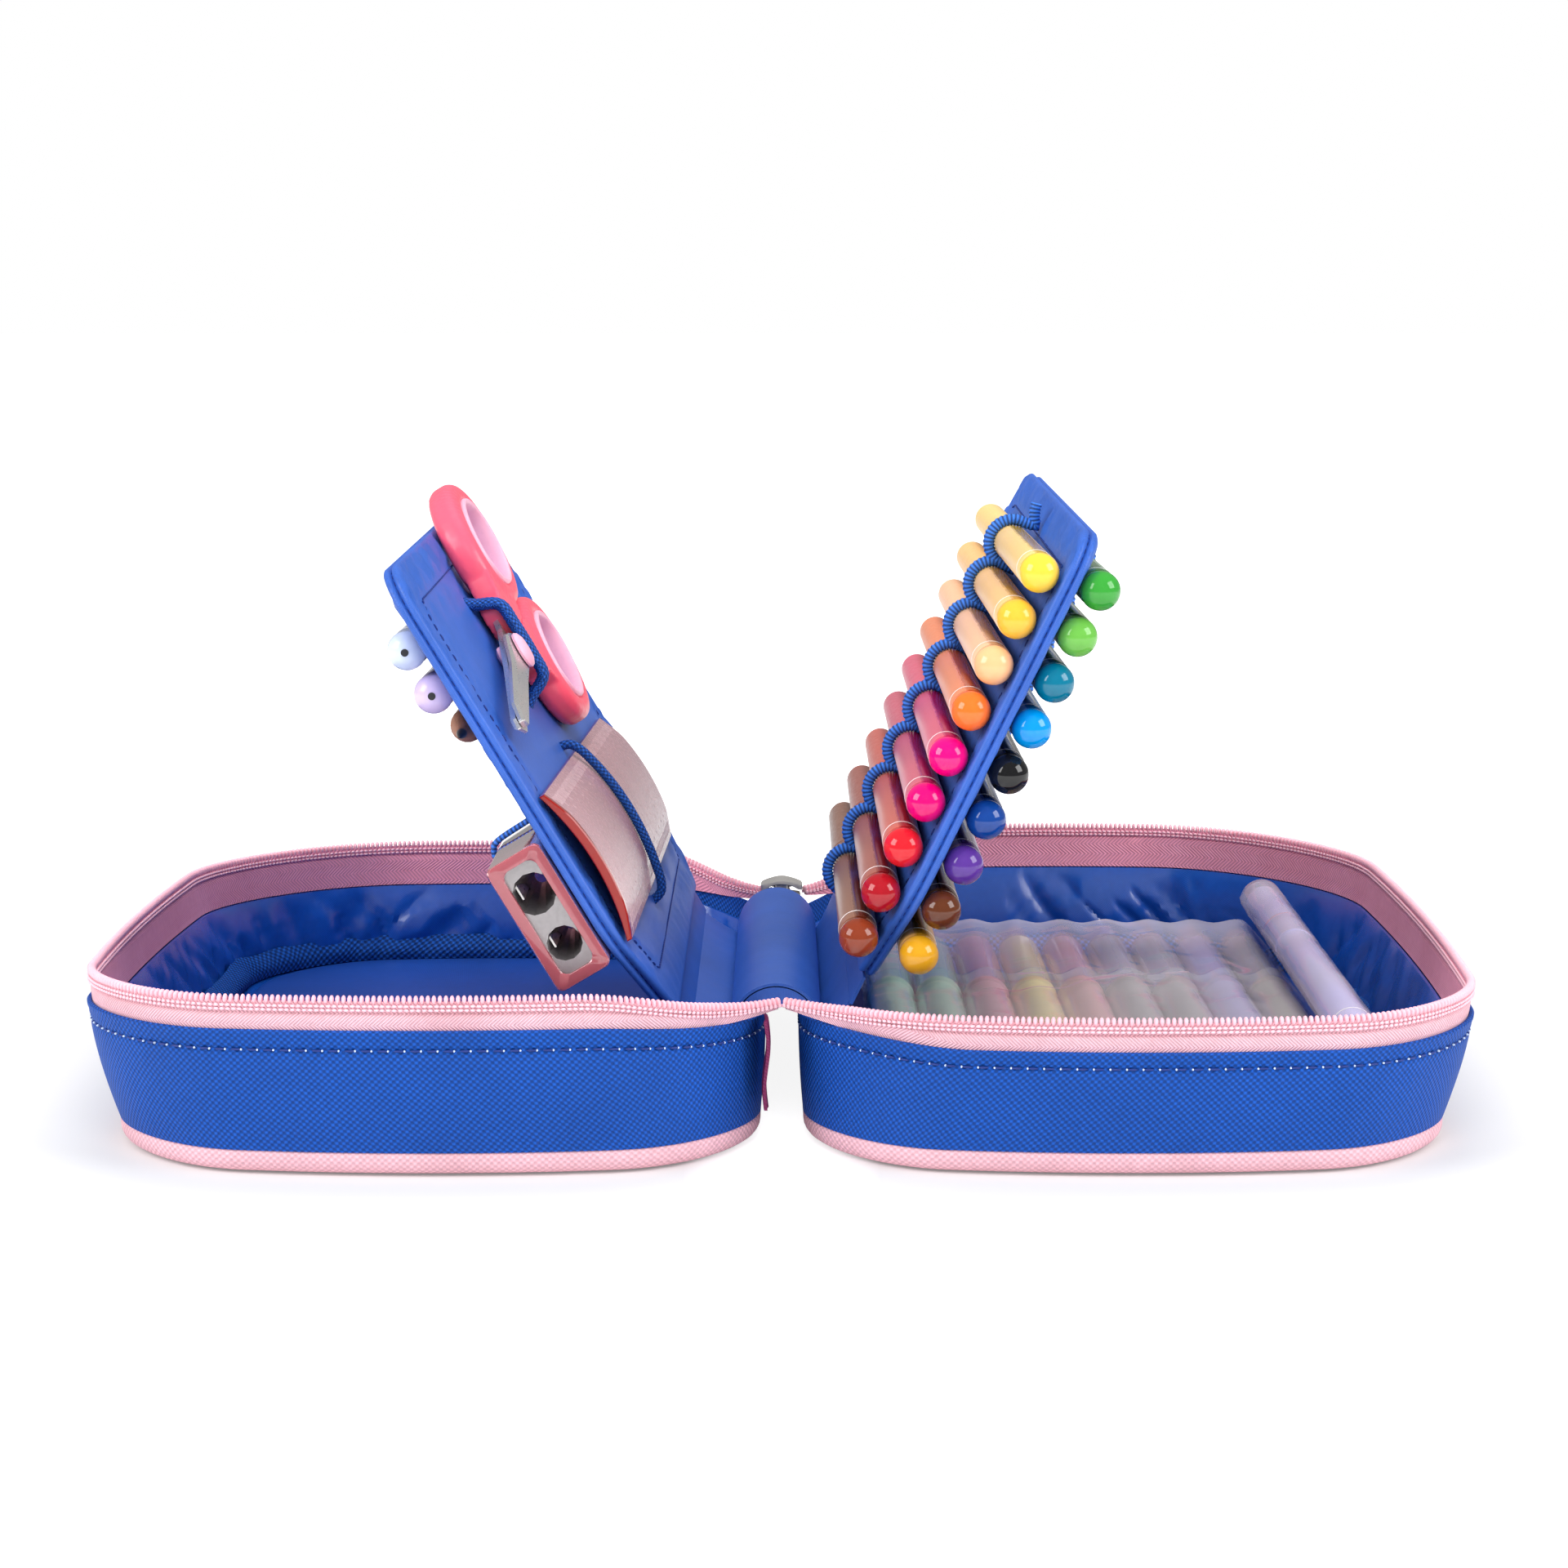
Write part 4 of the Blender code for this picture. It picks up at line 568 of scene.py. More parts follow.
def along_line(name, lines, look, spacing, size, lift=0.0):
    """Repeats a small piece along lines of (points, up directions), in millimetres."""
    bm = bmesh.new()
    ups = []
    for points, up in lines:
        verts = [bm.verts.new(Vector(p) * MM) for p in points]
        ups += [tuple(u) for u in up]
        for a, b in zip(verts, verts[1:]):
            bm.edges.new((a, b))
    mesh = bpy.data.meshes.new(name)
    bm.to_mesh(mesh)
    bm.free()
    mesh.attributes.new("up", "FLOAT_VECTOR", "POINT").data.foreach_set("vector", np.array(ups, np.float32).ravel())
    seed = bpy.data.objects.new(name + "_line", mesh)
    bpy.context.scene.collection.objects.link(seed)
    change = seed.modifiers.new("repeat", "NODES")
    change.node_group = REPEAT
    values = {"Spacing": spacing * MM, "Along": size[0] * MM / 2, "Across": size[1] * MM / 2,
              "Up": size[2] * MM / 2, "Lift": lift * MM, "Finish": look}
    for item in REPEAT.interface.items_tree:
        if item.in_out == "INPUT" and item.name in values:
            change[item.identifier] = values[item.name]
    deps = bpy.context.evaluated_depsgraph_get()
    solid = bpy.data.meshes.new_from_object(seed.evaluated_get(deps))
    bpy.data.objects.remove(seed)
    made = bpy.data.objects.new(name, solid)
    if not solid.materials:
        solid.materials.append(look)
    bpy.context.scene.collection.objects.link(made)
    return made


# Tray outlines
def plan(width, depth, corners, shift):
    """A tray's outline: rounded corners from the fold's near end round to its far end, with swollen sides."""
    near = TRAY_GAP / 2 + shift
    far, half = near + width, depth / 2
    quarters = ((near, -1, -half, -1, 180), (far, 1, -half, -1, 270), (far, 1, half, 1, 0), (near, -1, half, 1, 90))
    centres = [(x - r * sx, y - r * sy, r, start) for (x, sx, y, sy, start), r in zip(quarters, corners)]
    points = []
    for i, (x, y, r, start) in enumerate(centres):
        for k in range(CORNER_STEPS + 1):
            a = math.radians(start + 90 * k / CORNER_STEPS)
            points.append((x + r * math.cos(a), y + r * math.sin(a)))
        nx, ny, r, begin = centres[(i + 1) % 4]
        a = math.radians(begin)
        last, end = np.array(points[-1]), np.array((nx + r * math.cos(a), ny + r * math.sin(a)))
        points += [tuple(last + (end - last) * k / SIDE_STEPS) for k in range(1, SIDE_STEPS)]
    points = np.array(points)
    u = (points[:, 0] - (near + far) / 2) / (width / 2)
    v = points[:, 1] / half
    points[:, 0] += OUTER_BULGE * np.maximum(u, 0) * (1 - v * v)
    points[:, 1] += FRONT_BULGE * v * (1 - u * u)
    return points


def inward(points):
    along = np.roll(points, -1, axis=0) - np.roll(points, 1, axis=0)
    along /= np.linalg.norm(along, axis=1)[:, None]
    return np.stack([-along[:, 1], along[:, 0]], axis=1)


RIM = plan(TRAY_WIDTH, TRAY_DEPTH, RIM_CORNERS, 0.0)
BASE = plan(BASE_WIDTH, BASE_DEPTH, BASE_CORNERS, BASE_SHIFT)
RIM_IN, BASE_IN = inward(RIM), inward(BASE)
COUNT = len(RIM)
STEP = np.linalg.norm(np.diff(np.concatenate([RIM, RIM[:1]]), axis=0), axis=1)
AROUND = np.concatenate([[0], np.cumsum(STEP)[:-1]])


def nearness(x):
    t = np.clip((DIP_REACH - np.abs(x)) / (DIP_REACH - DIP_START), 0, 1)
    return t * t * (3 - 2 * t)


def mixed(far, near, share):
    return far + (near - far) * share


def rim_height(hand, points):
    share = points[:, 1] / (TRAY_DEPTH / 2)
    return mixed(RIM_HEIGHT + hand * RIM_SKEW * share, HINGE_HEIGHT - HINGE_FALL * share, nearness(points[:, 0]))


def wall_ring(hand, z, inset=0.0):
    """A ring of points on the tray's swelling wall at a height and an inset from the outside."""
    z = np.broadcast_to(np.asarray(z, float), (COUNT,))
    rise = np.clip((z - PIPING_HEIGHT) / (RIM_HEIGHT - PIPING_HEIGHT), 0, 1)
    share = (1 - (1 - rise) ** WALL_SWELL)[:, None]
    side = BASE_IN + (RIM_IN - BASE_IN) * share
    side /= np.linalg.norm(side, axis=1)[:, None]
    flat = BASE + (RIM - BASE) * share + side * np.broadcast_to(np.asarray(inset, float), (COUNT,))[:, None]
    return np.stack([hand * flat[:, 0], flat[:, 1], z], axis=1)


def loop_rows(rings):
    return np.stack(rings, axis=1)


def pattern(scale, slant, seed, z):
    """Noise around a tray's wall, with folds that lean by slant."""
    return np.array([noise.noise(Vector(((AROUND[i] + slant * z[i]) / scale, z[i] / (scale * 3.5), seed)))
                     for i in range(COUNT)])


def tray_cloth(name, rings, look, body, slot, *nodes):
    """A closed sleeve of cloth through rings that run round a tray."""
    return piece(skinned(name, look, loop_rows(rings), looped=True), body, slot, *nodes)


def level_rings(hand, heights_and_insets):
    """Rings of the base outline at heights and insets from it."""
    rings = []
    for z, inset in heights_and_insets:
        points = BASE + BASE_IN * inset
        rings.append(np.stack([hand * points[:, 0], points[:, 1], np.full(COUNT, z)], axis=1))
    return rings


def closed_form(name, rings, ends, mapped, look, body, slot, node):
    """A form through rings round a tray, closed by a flat face at each of the ends (ring, order)."""
    def shape(bm):
        verts = skin(bm, loop_rows(rings), looped=True)
        faces = [bm.faces.new([row[end] for row in verts][::order]) for end, order in ends]
        if mapped:
            flat_map(bm, faces)
    piece(built(name, look, shape), body, slot, node)


def round_line(points, ups):
    return np.concatenate([points, points[:1]]), np.concatenate([ups, ups[:1]])


def upright(points, up=(0.0, 0.0, 1.0)):
    return points, np.tile(up, (len(points), 1))


def dress_wall(hand, top):
    """Woven wall, drawn in along its seam, with a turned top hem and a row of stitches."""
    body, name = SIDE[hand] + "_tray", SIDE[hand] + "_"
    low = np.full(COUNT, PIPING_HEIGHT + 0.25)
    rings = []
    for share in (*np.linspace(0, 0.76, 9), 0.8, 0.825, 0.85, 0.875, 0.9, 0.94, 0.97, 1.0):
        z = mixed(low, top, share)
        sag = pattern(26, 0.4, 3.1 + hand, z) * 0.5 * math.sin(math.pi * share)
        pucker = 0.16 * np.abs(pattern(4.5, 0.0, 8.0 + hand, z)) * math.exp(-((share - SEAM_SHARE) / 0.07) ** 2)
        seam = 0.42 * math.exp(-((share - SEAM_SHARE) / 0.022) ** 2)
        rings.append(wall_ring(hand, z, -0.2 + sag + seam + pucker - (0.2 if share >= 0.97 else 0)))
    rings += [wall_ring(hand, top + 0.35, 0.1), wall_ring(hand, top + 0.3, 0.55), wall_ring(hand, top - 0.5, 0.65),
              wall_ring(hand, mixed(low, top, 0.5), 1.4), wall_ring(hand, low, 1.5)]
    tray_cloth(name + "wall_cover", rings, LOOKS["wall"], body, "woven_blue", name + "side_wall")
    ups = np.stack([-hand * RIM_IN[:, 0], -RIM_IN[:, 1], np.zeros(COUNT)], axis=1)
    line = wall_ring(hand, mixed(low, top, SEAM_SHARE), -0.12)
    shifted = np.roll(line, 1, axis=0) * 0.62 + line * 0.38
    for label, points, look, size in (("wall_stitches", line, "thread", (2.5, 0.5, 0.5)),
                                      ("wall_stitch_ends", shifted, "pale thread", (0.45, 0.5, 0.62))):
        stitches = along_line(name + label, [round_line(points, ups)], LOOKS[look], WALL_STITCH, size)
        piece(stitches, body, "woven_blue")


def dress_lining(hand, rim, near, far):
    """Gathered lining with its foot turned in under the board, and the coarse binding over its foot seam.

    near is 1 at the fold and far is 1 at the outer end, where the folds are shallower.
    """
    body, name = SIDE[hand] + "_tray", SIDE[hand] + "_"
    high = rim - mixed(LINING_DROP, LINING_DROP_AT_HINGE, near)
    foot = np.full(COUNT, 3.2)
    reach = FOLD_DEPTH * (1 - 0.6 * near) * (1 - (0.6 if hand == RIGHT else 0.45) * far)
    front, back = [], []
    for share in np.linspace(0, 1, 23):
        z = mixed(foot, high, share)
        folds = (1.9 * np.abs(pattern(19, 0.9, 9.0 + hand, z)) + 1.1 * np.abs(pattern(9, -0.5, 4.0 + hand, z))
                 + 0.5 * np.abs(pattern(5, 0.8, 2.0 + hand, z)))
        pull = math.sin(math.pi * min(0.06 + share * 0.94, 1.0)) ** 0.75
        front.append(wall_ring(hand, z, WALL + GAP + LINING + pull * reach * np.clip(folds, 0, 1.0)))
        if share in (0.0, 0.5, 1.0):
            back.append(wall_ring(hand, z, WALL + GAP))
    sole = level_rings(hand, ((2.5, 3.0), (2.55, 14.0), (2.75, 14.0), (2.9, 9.0), (3.0, 5.0)))
    tray_cloth(name + "lining_cloth", sole + front + back[::-1], LOOKS["lining"], body, "satin_blue",
               name + "lining")
    rings = []
    tuck = (2.2 if hand == RIGHT else 0.0) * far
    for share in np.linspace(0, 1, 9):
        z = 3.4 + (6.2 + 1.6 * pattern(23, 0.0, 6.0 + hand, foot)) * share
        bulge = math.sin(math.pi * share)
        crumple = 1.6 * np.abs(pattern(13, 0.5, 2.0 + hand, z)) * bulge
        rings.append(wall_ring(hand, z, 5.9 - tuck + (crumple + 0.9 * bulge) * (1 - tuck / 4) - 1.6 * share))
    rings += [wall_ring(hand, 8.2, 3.4), wall_ring(hand, 3.4, 3.2)]
    tray_cloth(name + "foot_binding", rings, LOOKS["binding"], body, "satin_blue")


def dress_tray(hand):
    """Wall, base, lining, floor board and zip of one tray."""
    body, name = SIDE[hand] + "_tray", SIDE[hand] + "_"
    rim = rim_height(hand, RIM)
    near = nearness(RIM[:, 0])
    dress_wall(hand, rim - mixed(TAPE_SHOWN, TAPE_SHOWN_AT_HINGE, near))
    # Base cover: a rounded foot with a low lip that holds the wall
    rings = level_rings(hand, (
        (2.4, 14.0), (2.4, 2.2), (5.3, 2.0), (5.35, 0.6), (5.15, 0.1), (4.7, -0.12), (4.2, -0.15), (3.4, -0.12),
        (2.6, 0.0), (1.9, 0.3), (1.2, 0.85), (0.65, 1.7), (0.25, 3.0), (0.05, 4.6), (0.0, 8.0), (0.3, 14.0)))
    closed_form(name + "base_cover", rings, ((0, 1), (-1, -1)), True, LOOKS["base"], body, "woven_pink",
                name + "base_panel")
    dress_lining(hand, rim, near, np.clip((RIM[:, 0] - 118) / 18, 0, 1))
    # Covered floor board with soft edges
    rings = level_rings(hand, ((2.75, 9.6), (3.1, 9.0), (3.7, 9.05), (4.05, 9.6), (4.2, 10.8), (4.2, 15.0)))
    centre = np.array([hand * (TRAY_GAP / 2 + TRAY_WIDTH / 2), 0.0])
    for share in (0.2, 0.45, 0.7, 0.9):
        ring = rings[5].copy()
        ring[:, :2] = ring[:, :2] + (centre - ring[:, :2]) * share
        ring[:, 2] += 0.12 * ripple(ring, 40.0, 5.0)
        rings.append(ring)
    closed_form(name + "board_cover", rings, ((-1, 1), (0, -1)), False, LOOKS["board"], body, "satin_blue",
                name + "floor_board")
    dress_zip(hand, name, body, rim, near)


def dress_zip(hand, name, body, rim, near):
    """Zip tape, coil and its sewing threads along the rim and out to the fold at both ends."""
    start = CORNER_STEPS // 2
    stop = 3 * (CORNER_STEPS + SIDE_STEPS) + CORNER_STEPS // 2
    order = list(range(start, stop + 1))
    tape_low = mixed(TAPE_HEIGHT, TAPE_HEIGHT_AT_HINGE, near)

    def line(drop, inset):
        """Points of a line at a drop below the rim and an inset, out to the fold at both ends."""
        depth = drop if np.ndim(drop) else np.full(COUNT, float(drop))
        main = wall_ring(hand, rim - depth, inset)[order]
        ends = []
        slider_side = CHAIN_STOP if hand == RIGHT else 0.0
        for index, y, stop_share in ((start, -CHAIN_END_Y, 0.0), (stop, CHAIN_END_Y, slider_side)):
            flat_end = np.array([CHAIN_END_X, y])
            along = (RIM[index] - flat_end) * (-1 if y > 0 else 1)
            side = np.array([-along[1], along[0]]) / np.linalg.norm(along)
            flat = flat_end + (RIM[index] - flat_end) * np.linspace(stop_share, 1, 13)[:-1, None]
            spot = flat + side * inset
            fall = np.minimum(depth[index], 1.2) + max(depth[index] - 1.2, 0) * np.linspace(0.45, 1, 13)[:-1] ** 1.5
            ends.append(np.stack([hand * spot[:, 0], spot[:, 1], rim_height(hand, flat) - fall], axis=1))
        return np.concatenate([ends[0], main, ends[1][::-1]])

    outer = ((1.0, 0.95), (0.75, 0.8), (0.55, 0.72), (0.4, 0.7), (0.31, 0.72), (0.27, 0.85), (0.24, 1.2), (0.21, 1.2),
             (0.19, 0.85), (0.15, 0.75), (0.06, 0.8), (0.0, 0.95))
    inner = ((0.0, 1.45), (0.06, 1.7), (0.15, 1.78), (0.19, 1.7), (0.21, 1.45), (0.24, 1.45), (0.27, 1.7), (0.4, 1.78),
             (0.7, 1.76), (1.0, 1.75))
    rows = loop_rows([line(mixed(1.2, tape_low, share), inset) for share, inset in outer + inner])
    width = len(outer) + len(inner)

    # Faces on the tape's inner side take its darker copy, painted shade.
    def inside_look(bm):
        bm.verts.index_update()
        for face in bm.faces:
            if len(face.verts) == 4 and min(v.index % width for v in face.verts) >= len(outer) - 1:
                face.material_index = 1
    piece(built(name + "tape_cloth", [LOOKS["tape"], LOOKS["inner tape"]],
                lambda bm: skin(bm, rows, closed=True, capped=True), inside_look), body, "zip_tape", name + "zip_tape")
    coil = along_line(name + "zip_coil", [upright(line(0.95, 1.15))], LOOKS["coil"], COIL_PITCH, (1.0, 2.0, 1.9), 0.1)
    piece(coil, body, "zip_coil", name + "zip_teeth")
    threads = [upright(line(drop, inset)) for inset in (0.4, 2.0) for drop in (2.05, 2.85)]
    sewing = along_line(name + "coil_sewing", threads, LOOKS["rose thread"], COIL_PITCH, (1.0, 0.6, 0.62))
    piece(sewing, body, "zip_coil")


# Flaps: points in a flap's frame are (distance up the flap, y, distance off its middle plane)
def flap_matrix(hand):
    angle = math.radians(LEAN[hand])
    along = Vector((hand * math.cos(angle), 0, math.sin(angle)))
    off = Vector((-hand * math.sin(angle), 0, math.cos(angle)))
    made = Matrix((along, Vector((0, 1, 0)), off)).transposed().to_4x4()
    made.translation = Vector((PIVOT[hand][0], 0, PIVOT[hand][1]))
    return made


FLAP = {hand: flap_matrix(hand) for hand in (LEFT, RIGHT)}


def in_world(hand, points):
    matrix = np.array(FLAP[hand])
    return np.asarray(points, float) @ matrix[:3, :3].T + matrix[:3, 3]


def flap_outline(hand, inset=0.0):
    half, hinge = FLAP_HALF - inset, FLAP_HINGE_HALF - inset * 0.6
    start = FLAP_START + inset
    wide = FLAP_START + FLAP_RISE + inset * 0.3
    near, far = NEAR_EDGE[hand] - inset, FAR_EDGE[hand] - inset
    return np.array(rounded([(start, -hinge, 6.0), (wide, -half, FLAP_SHOULDER - inset * 0.5),
                             (near, -half, FLAP_NEAR_CORNER - inset * 0.5), (far, half, FAR_CORNER[hand] - inset * 0.5),
                             (wide, half, FLAP_SHOULDER - inset * 0.5), (start, hinge, 6.0)]))


def edge_distance(outline, points):
    """Distance from each point to a closed outline."""
    a = outline
    b = np.roll(outline, -1, axis=0)
    span = b - a
    best = np.full(len(points), 1e9)
    for p, s in zip(a, span):
        size = s @ s
        if size < 1e-9:
            continue
        t = np.clip(((points - p) @ s) / size, 0, 1)
        best = np.minimum(best, np.linalg.norm(points - p - t[:, None] * s, axis=1))
    return best


def row_span(outline, y):
    """The lowest and highest t of an outline on a line at y."""
    hits = []
    for (t0, y0), (t1, y1) in zip(outline, np.roll(outline, -1, axis=0)):
        if (y0 - y) * (y1 - y) <= 0 and abs(y1 - y0) > 1e-9:
            hits.append(t0 + (t1 - t0) * (y - y0) / (y1 - y0))
    return min(hits), max(hits)


def flap_grid(hand, edge=1.3):
    """A quad grid over a flap inside its rolled edge, as an array (rows, columns, 2)."""
    outline = flap_outline(hand, edge)
    low, high = outline[:, 1].min(), outline[:, 1].max()
    ys = low + (high - low) * (0.5 - 0.5 * np.cos(np.linspace(0.06, math.pi - 0.06, 74)))
    ys[0], ys[-1] = low + 0.02, high - 0.02
    shares = 0.5 - 0.5 * np.cos(np.linspace(0, math.pi, 47))
    shares = 0.35 * shares + 0.65 * np.linspace(0, 1, 47)
    rows = []
    for y in ys:
        t0, t1 = row_span(outline, y)
        rows.append([(t0 + (t1 - t0) * s, y) for s in shares])
    return np.array(rows)


def puffed(made, pinned, limit, frames=14):
    """Fills a cover by cloth simulation with its seams held, then keeps each point within its limit, in metres."""
    rest = np.array([tuple(v.co) for v in made.data.vertices])
    group = made.vertex_groups.new(name="seams")
    group.add([int(i) for i in np.nonzero(pinned)[0]], 1.0, "REPLACE")
    change = made.modifiers.new("padding", "CLOTH")
    settings = change.settings
    settings.quality = 5
    settings.mass = 0.15
    settings.tension_stiffness = settings.compression_stiffness = 12
    settings.bending_stiffness = 0.15
    settings.shrink_min = -0.03
    settings.use_pressure = True
    settings.uniform_pressure_force = 4.0
    settings.vertex_group_mass = "seams"
    settings.effector_weights.gravity = 0.0
    scene = bpy.context.scene
    scene.frame_start, scene.frame_end = 1, frames
    change.point_cache.frame_start, change.point_cache.frame_end = 1, frames
    for frame_number in range(1, frames + 1):
        scene.frame_set(frame_number)
    deps = bpy.context.evaluated_depsgraph_get()
    found = np.array([tuple(v.co) for v in made.evaluated_get(deps).data.vertices])
    made.modifiers.clear()
    made.vertex_groups.clear()
    scene.frame_set(1)
    move = found - rest
    size = np.linalg.norm(move, axis=1)[:, None] + 1e-12
    move *= np.minimum(1.0, limit[:, None] / size)
    made.data.vertices.foreach_set("co", (rest + move).astype(np.float32).ravel())
    made.data.update()


def flap_shell(bm, hand, grid):
    """Both faces of a flap's cover over a grid, joined by a rolled edge: two ridges with a sewn groove between them."""
    rows, columns = grid.shape[:2]
    flat = grid.reshape(-1, 2)
    away = edge_distance(flap_outline(hand), flat)
    height = 1.75 + 0.3 * np.clip((away - 1.0) / 3.0, 0, 1) - 0.55 * np.exp(-((away - SEAM_INSET) / 1.1) ** 2)
    sheets = []
    for face_side in (1, -1):
        waves = ripple(np.column_stack([flat, np.full(len(flat), 40.0 * face_side)]), 21.0, hand * 3.0)
        points = np.column_stack([flat, face_side * (height + 0.16 * waves * (away > 2))])
        sheets.append([bm.verts.new(p) for p in points])
    for sheet in sheets:
        for i in range(rows - 1):
            for k in range(columns - 1):
                a, b = i * columns + k, (i + 1) * columns + k
                bm.faces.new((sheet[a], sheet[b], sheet[b + 1], sheet[a + 1]))
    border = ([k for k in range(columns)] + [i * columns + columns - 1 for i in range(1, rows)]
              + [(rows - 1) * columns + k for k in range(columns - 2, -1, -1)]
              + [i * columns for i in range(rows - 2, 0, -1)])
    edge = flat[border]
    ahead = np.roll(edge, -1, axis=0) - np.roll(edge, 1, axis=0)
    ahead /= np.linalg.norm(ahead, axis=1)[:, None] + 1e-9
    out = np.stack([ahead[:, 1], -ahead[:, 0]], axis=1)
    if (out * (edge - flat.mean(axis=0))).sum() < 0:
        out = -out
    rings = [[sheets[0][k] for k in border]]
    for reach, n in ((0.75, 1.72), (1.2, 1.3), (1.25, 0.8), (0.95, 0.35), (0.35, 0.08), (0.3, -0.08), (0.95, -0.35),
                     (1.25, -0.8), (1.2, -1.3), (0.75, -1.72)):
        rings.append([bm.verts.new((*(e + o * reach), n)) for e, o in zip(edge, out)])
    rings.append([sheets[1][k] for k in border])
    for first, second in zip(rings, rings[1:]):
        for i in range(len(border)):
            j = (i + 1) % len(border)
            bm.faces.new((first[i], first[j], second[j], second[i]))
    flat_map(bm, bm.faces)


def dress_flap(hand):
    side = SIDE[hand]
    grid = flap_grid(hand)
    made = built(side + "_flap_cover", LOOKS["satin"], lambda bm: flap_shell(bm, hand, grid), angle=60)
    spots = np.array([tuple(v.co) for v in made.data.vertices]) / MM
    inside = edge_distance(flap_outline(hand), spots[:, :2])
    inside[grid.shape[0] * grid.shape[1] * 2:] = 0.0
    pens_end = 106 if hand == LEFT else 103
    open_cloth = (spots[:, 1] > FLAP_HINGE_HALF) | ((spots[:, 0] > pens_end) & (inside > 1))
    clear = np.minimum(inside, np.abs(inside - SEAM_INSET))
    limit = np.where(open_cloth, PUFF_OPEN, PUFF_UNDER_PENS) * np.clip((clear - 0.6) / 2.5, 0, 1) * MM
    puffed(made, clear < 1.2, limit)
    moved = FLAP[hand].copy()
    moved.translation *= MM
    made.data.transform(moved)
    piece(made, side + "_flap", "satin_blue", side + "_flap_panel")
    # Border seam on both faces, and the seam in the edge's groove
    lines = []
    for inset, height, up in ((SEAM_INSET, FACE - 0.22, 1), (SEAM_INSET, -(FACE - 0.22), -1), (1.1, 0.0, 1)):
        outline = flap_outline(hand, inset)
        outline = resample(np.concatenate([outline, outline[:1]]), 2.0)
        spots = in_world(hand, np.column_stack([outline, np.full(len(outline), height)]))
        lines.append(upright(spots, np.array(FLAP[hand].to_3x3() @ Vector((0, 0, up)))))
    stitches = along_line(side + "_flap_stitches", lines, LOOKS["thread"], 2.4, (1.65, 0.48, 0.48))
    piece(stitches, side + "_flap", "satin_blue")


# Pens
def pen_material(name, colour, rough=0.06):
    made = moulded(name, colour, rough, grain=0.01, drift=0.04)
    made.node_tree.nodes["Principled BSDF"].inputs["Specular IOR Level"].default_value = 0.5
    return made


def barrel_material(name, pale, deep, radius):
    made, net, shader = start_material(name)
    window = net.group(WINDOW, Vector=net.place("UV"), Around=math.tau * radius * MM, Turn=0.45, Width=0.04,
                       Deep=(*deep, 1.0), Pale=(*pale, 1.0)).outputs
    tone = net.group(TONE, Vector=net.place("Object"), Scale=70.0, Dark=(0.9, 0.9, 0.9, 1.0), Light=WHITE)
    net.fill(shader, {"Base Color": net.mix(1.0, window["Color"], tone.outputs["Color"], "MULTIPLY"),
                      "Roughness": net.spread(window["Mask"], 0.0, 1.0, 0.12, 0.3), "Specular IOR Level": 0.3})
    return made


def pen_piece(node, body, matrix, radius, length, looks, slot):
    """A fibre pen: round ball end, ring groove, printed line, barrel, cap with a rim, and a domed tip."""
    r = radius
    arc = [(r * 1.02 * (1 - math.cos(a)), r * 1.02 * math.sin(a)) for a in np.linspace(0, 2.25, 16)]
    neck = arc[-1][0]
    ring, split = r * 3.1, length * 0.62
    steps = [(neck + 0.1, r * 0.86, 0), (neck + 0.45, r * 0.86, 0), (neck + 0.5, r * 0.97, 1), (neck + 0.9, r, 1),
             (ring, r, 1), (ring, r + 0.05, 3), (ring + 0.5, r + 0.05, 3), (ring + 0.5, r, 3), (split - 0.3, r, 1),
             (split, r * 0.98, 1), (split + 0.1, r * 0.95, 1), (split + 0.4, r * 0.95, 2), (split + 0.5, r * 1.01, 2),
             (split + 2.4, r * 1.01, 2), (split + 2.7, r * 0.98, 2), (length - r * 1.1, r * 0.96, 2),
             (length - r * 0.75, r * 0.92, 2), (length - r * 0.45, r * 0.8, 2), (length - r * 0.2, r * 0.6, 2),
             (length - r * 0.05, r * 0.32, 2), (length, 0, 2)]
    profile = arc + [(a, b) for a, b, _ in steps]
    marks = [0] * (len(arc) - 1) + [look for _, _, look in steps]
    piece(built(node + "_dressed", looks, lambda bm: turned(bm, profile, 32, marks=marks), matrix=matrix, angle=40),
          body, slot, node)


# Each pen's ball colour and the haze that its printed barrel adds to it
FRONT_PENS = (((0.22, 0.035, 0.012), 0.2), ((0.36, 0.006, 0.014), 0.2), ((0.66, 0.012, 0.022), 0.22),
              ((0.7, 0.0, 0.15), 0.22), ((0.84, 0.0, 0.18), 0.22), ((0.92, 0.16, 0.02), 0.28),
              ((0.92, 0.46, 0.22), 0.46), ((0.88, 0.46, 0.04), 0.5), ((0.92, 0.58, 0.05), 0.5))
BACK_PENS = (((0.6, 0.29, 0.01), 0.2), ((0.1, 0.025, 0.008), 0.05), ((0.09, 0.03, 0.26), 0.15),
             ((0.004, 0.045, 0.25), 0.05), ((0.006, 0.006, 0.007), 0.01), ((0.0, 0.26, 0.68), 0.05),
             ((0.0, 0.15, 0.25), 0.03), ((0.13, 0.42, 0.06), 0.08), ((0.035, 0.3, 0.035), 0.04))


def pen_looks(name, colour, haze, radius):
    dull = tuple(min(0.62 * c + 0.78 * haze * w, 1.0) for c, w in zip(colour, (1.0, 0.72, 0.5)))
    deep = tuple(0.6 * c for c in colour)
    return [pen_material(name + " ball", colour), barrel_material(name + " barrel", dull, deep, radius),
            pen_material(name + " cap", tuple(min(c * 1.05, 1) for c in dull), 0.35), LOOKS["white print"]]


def cord_piece(name, hand, look, node, path, radius, **form):
    """An elastic along a path in a flap's frame."""
    made = skinned(name, LOOKS[look], tube_rows(path, radius, **form), matrix=FLAP[hand], angle=80, capped=True)
    piece(made, SIDE[hand] + "_flap", "cord", node)


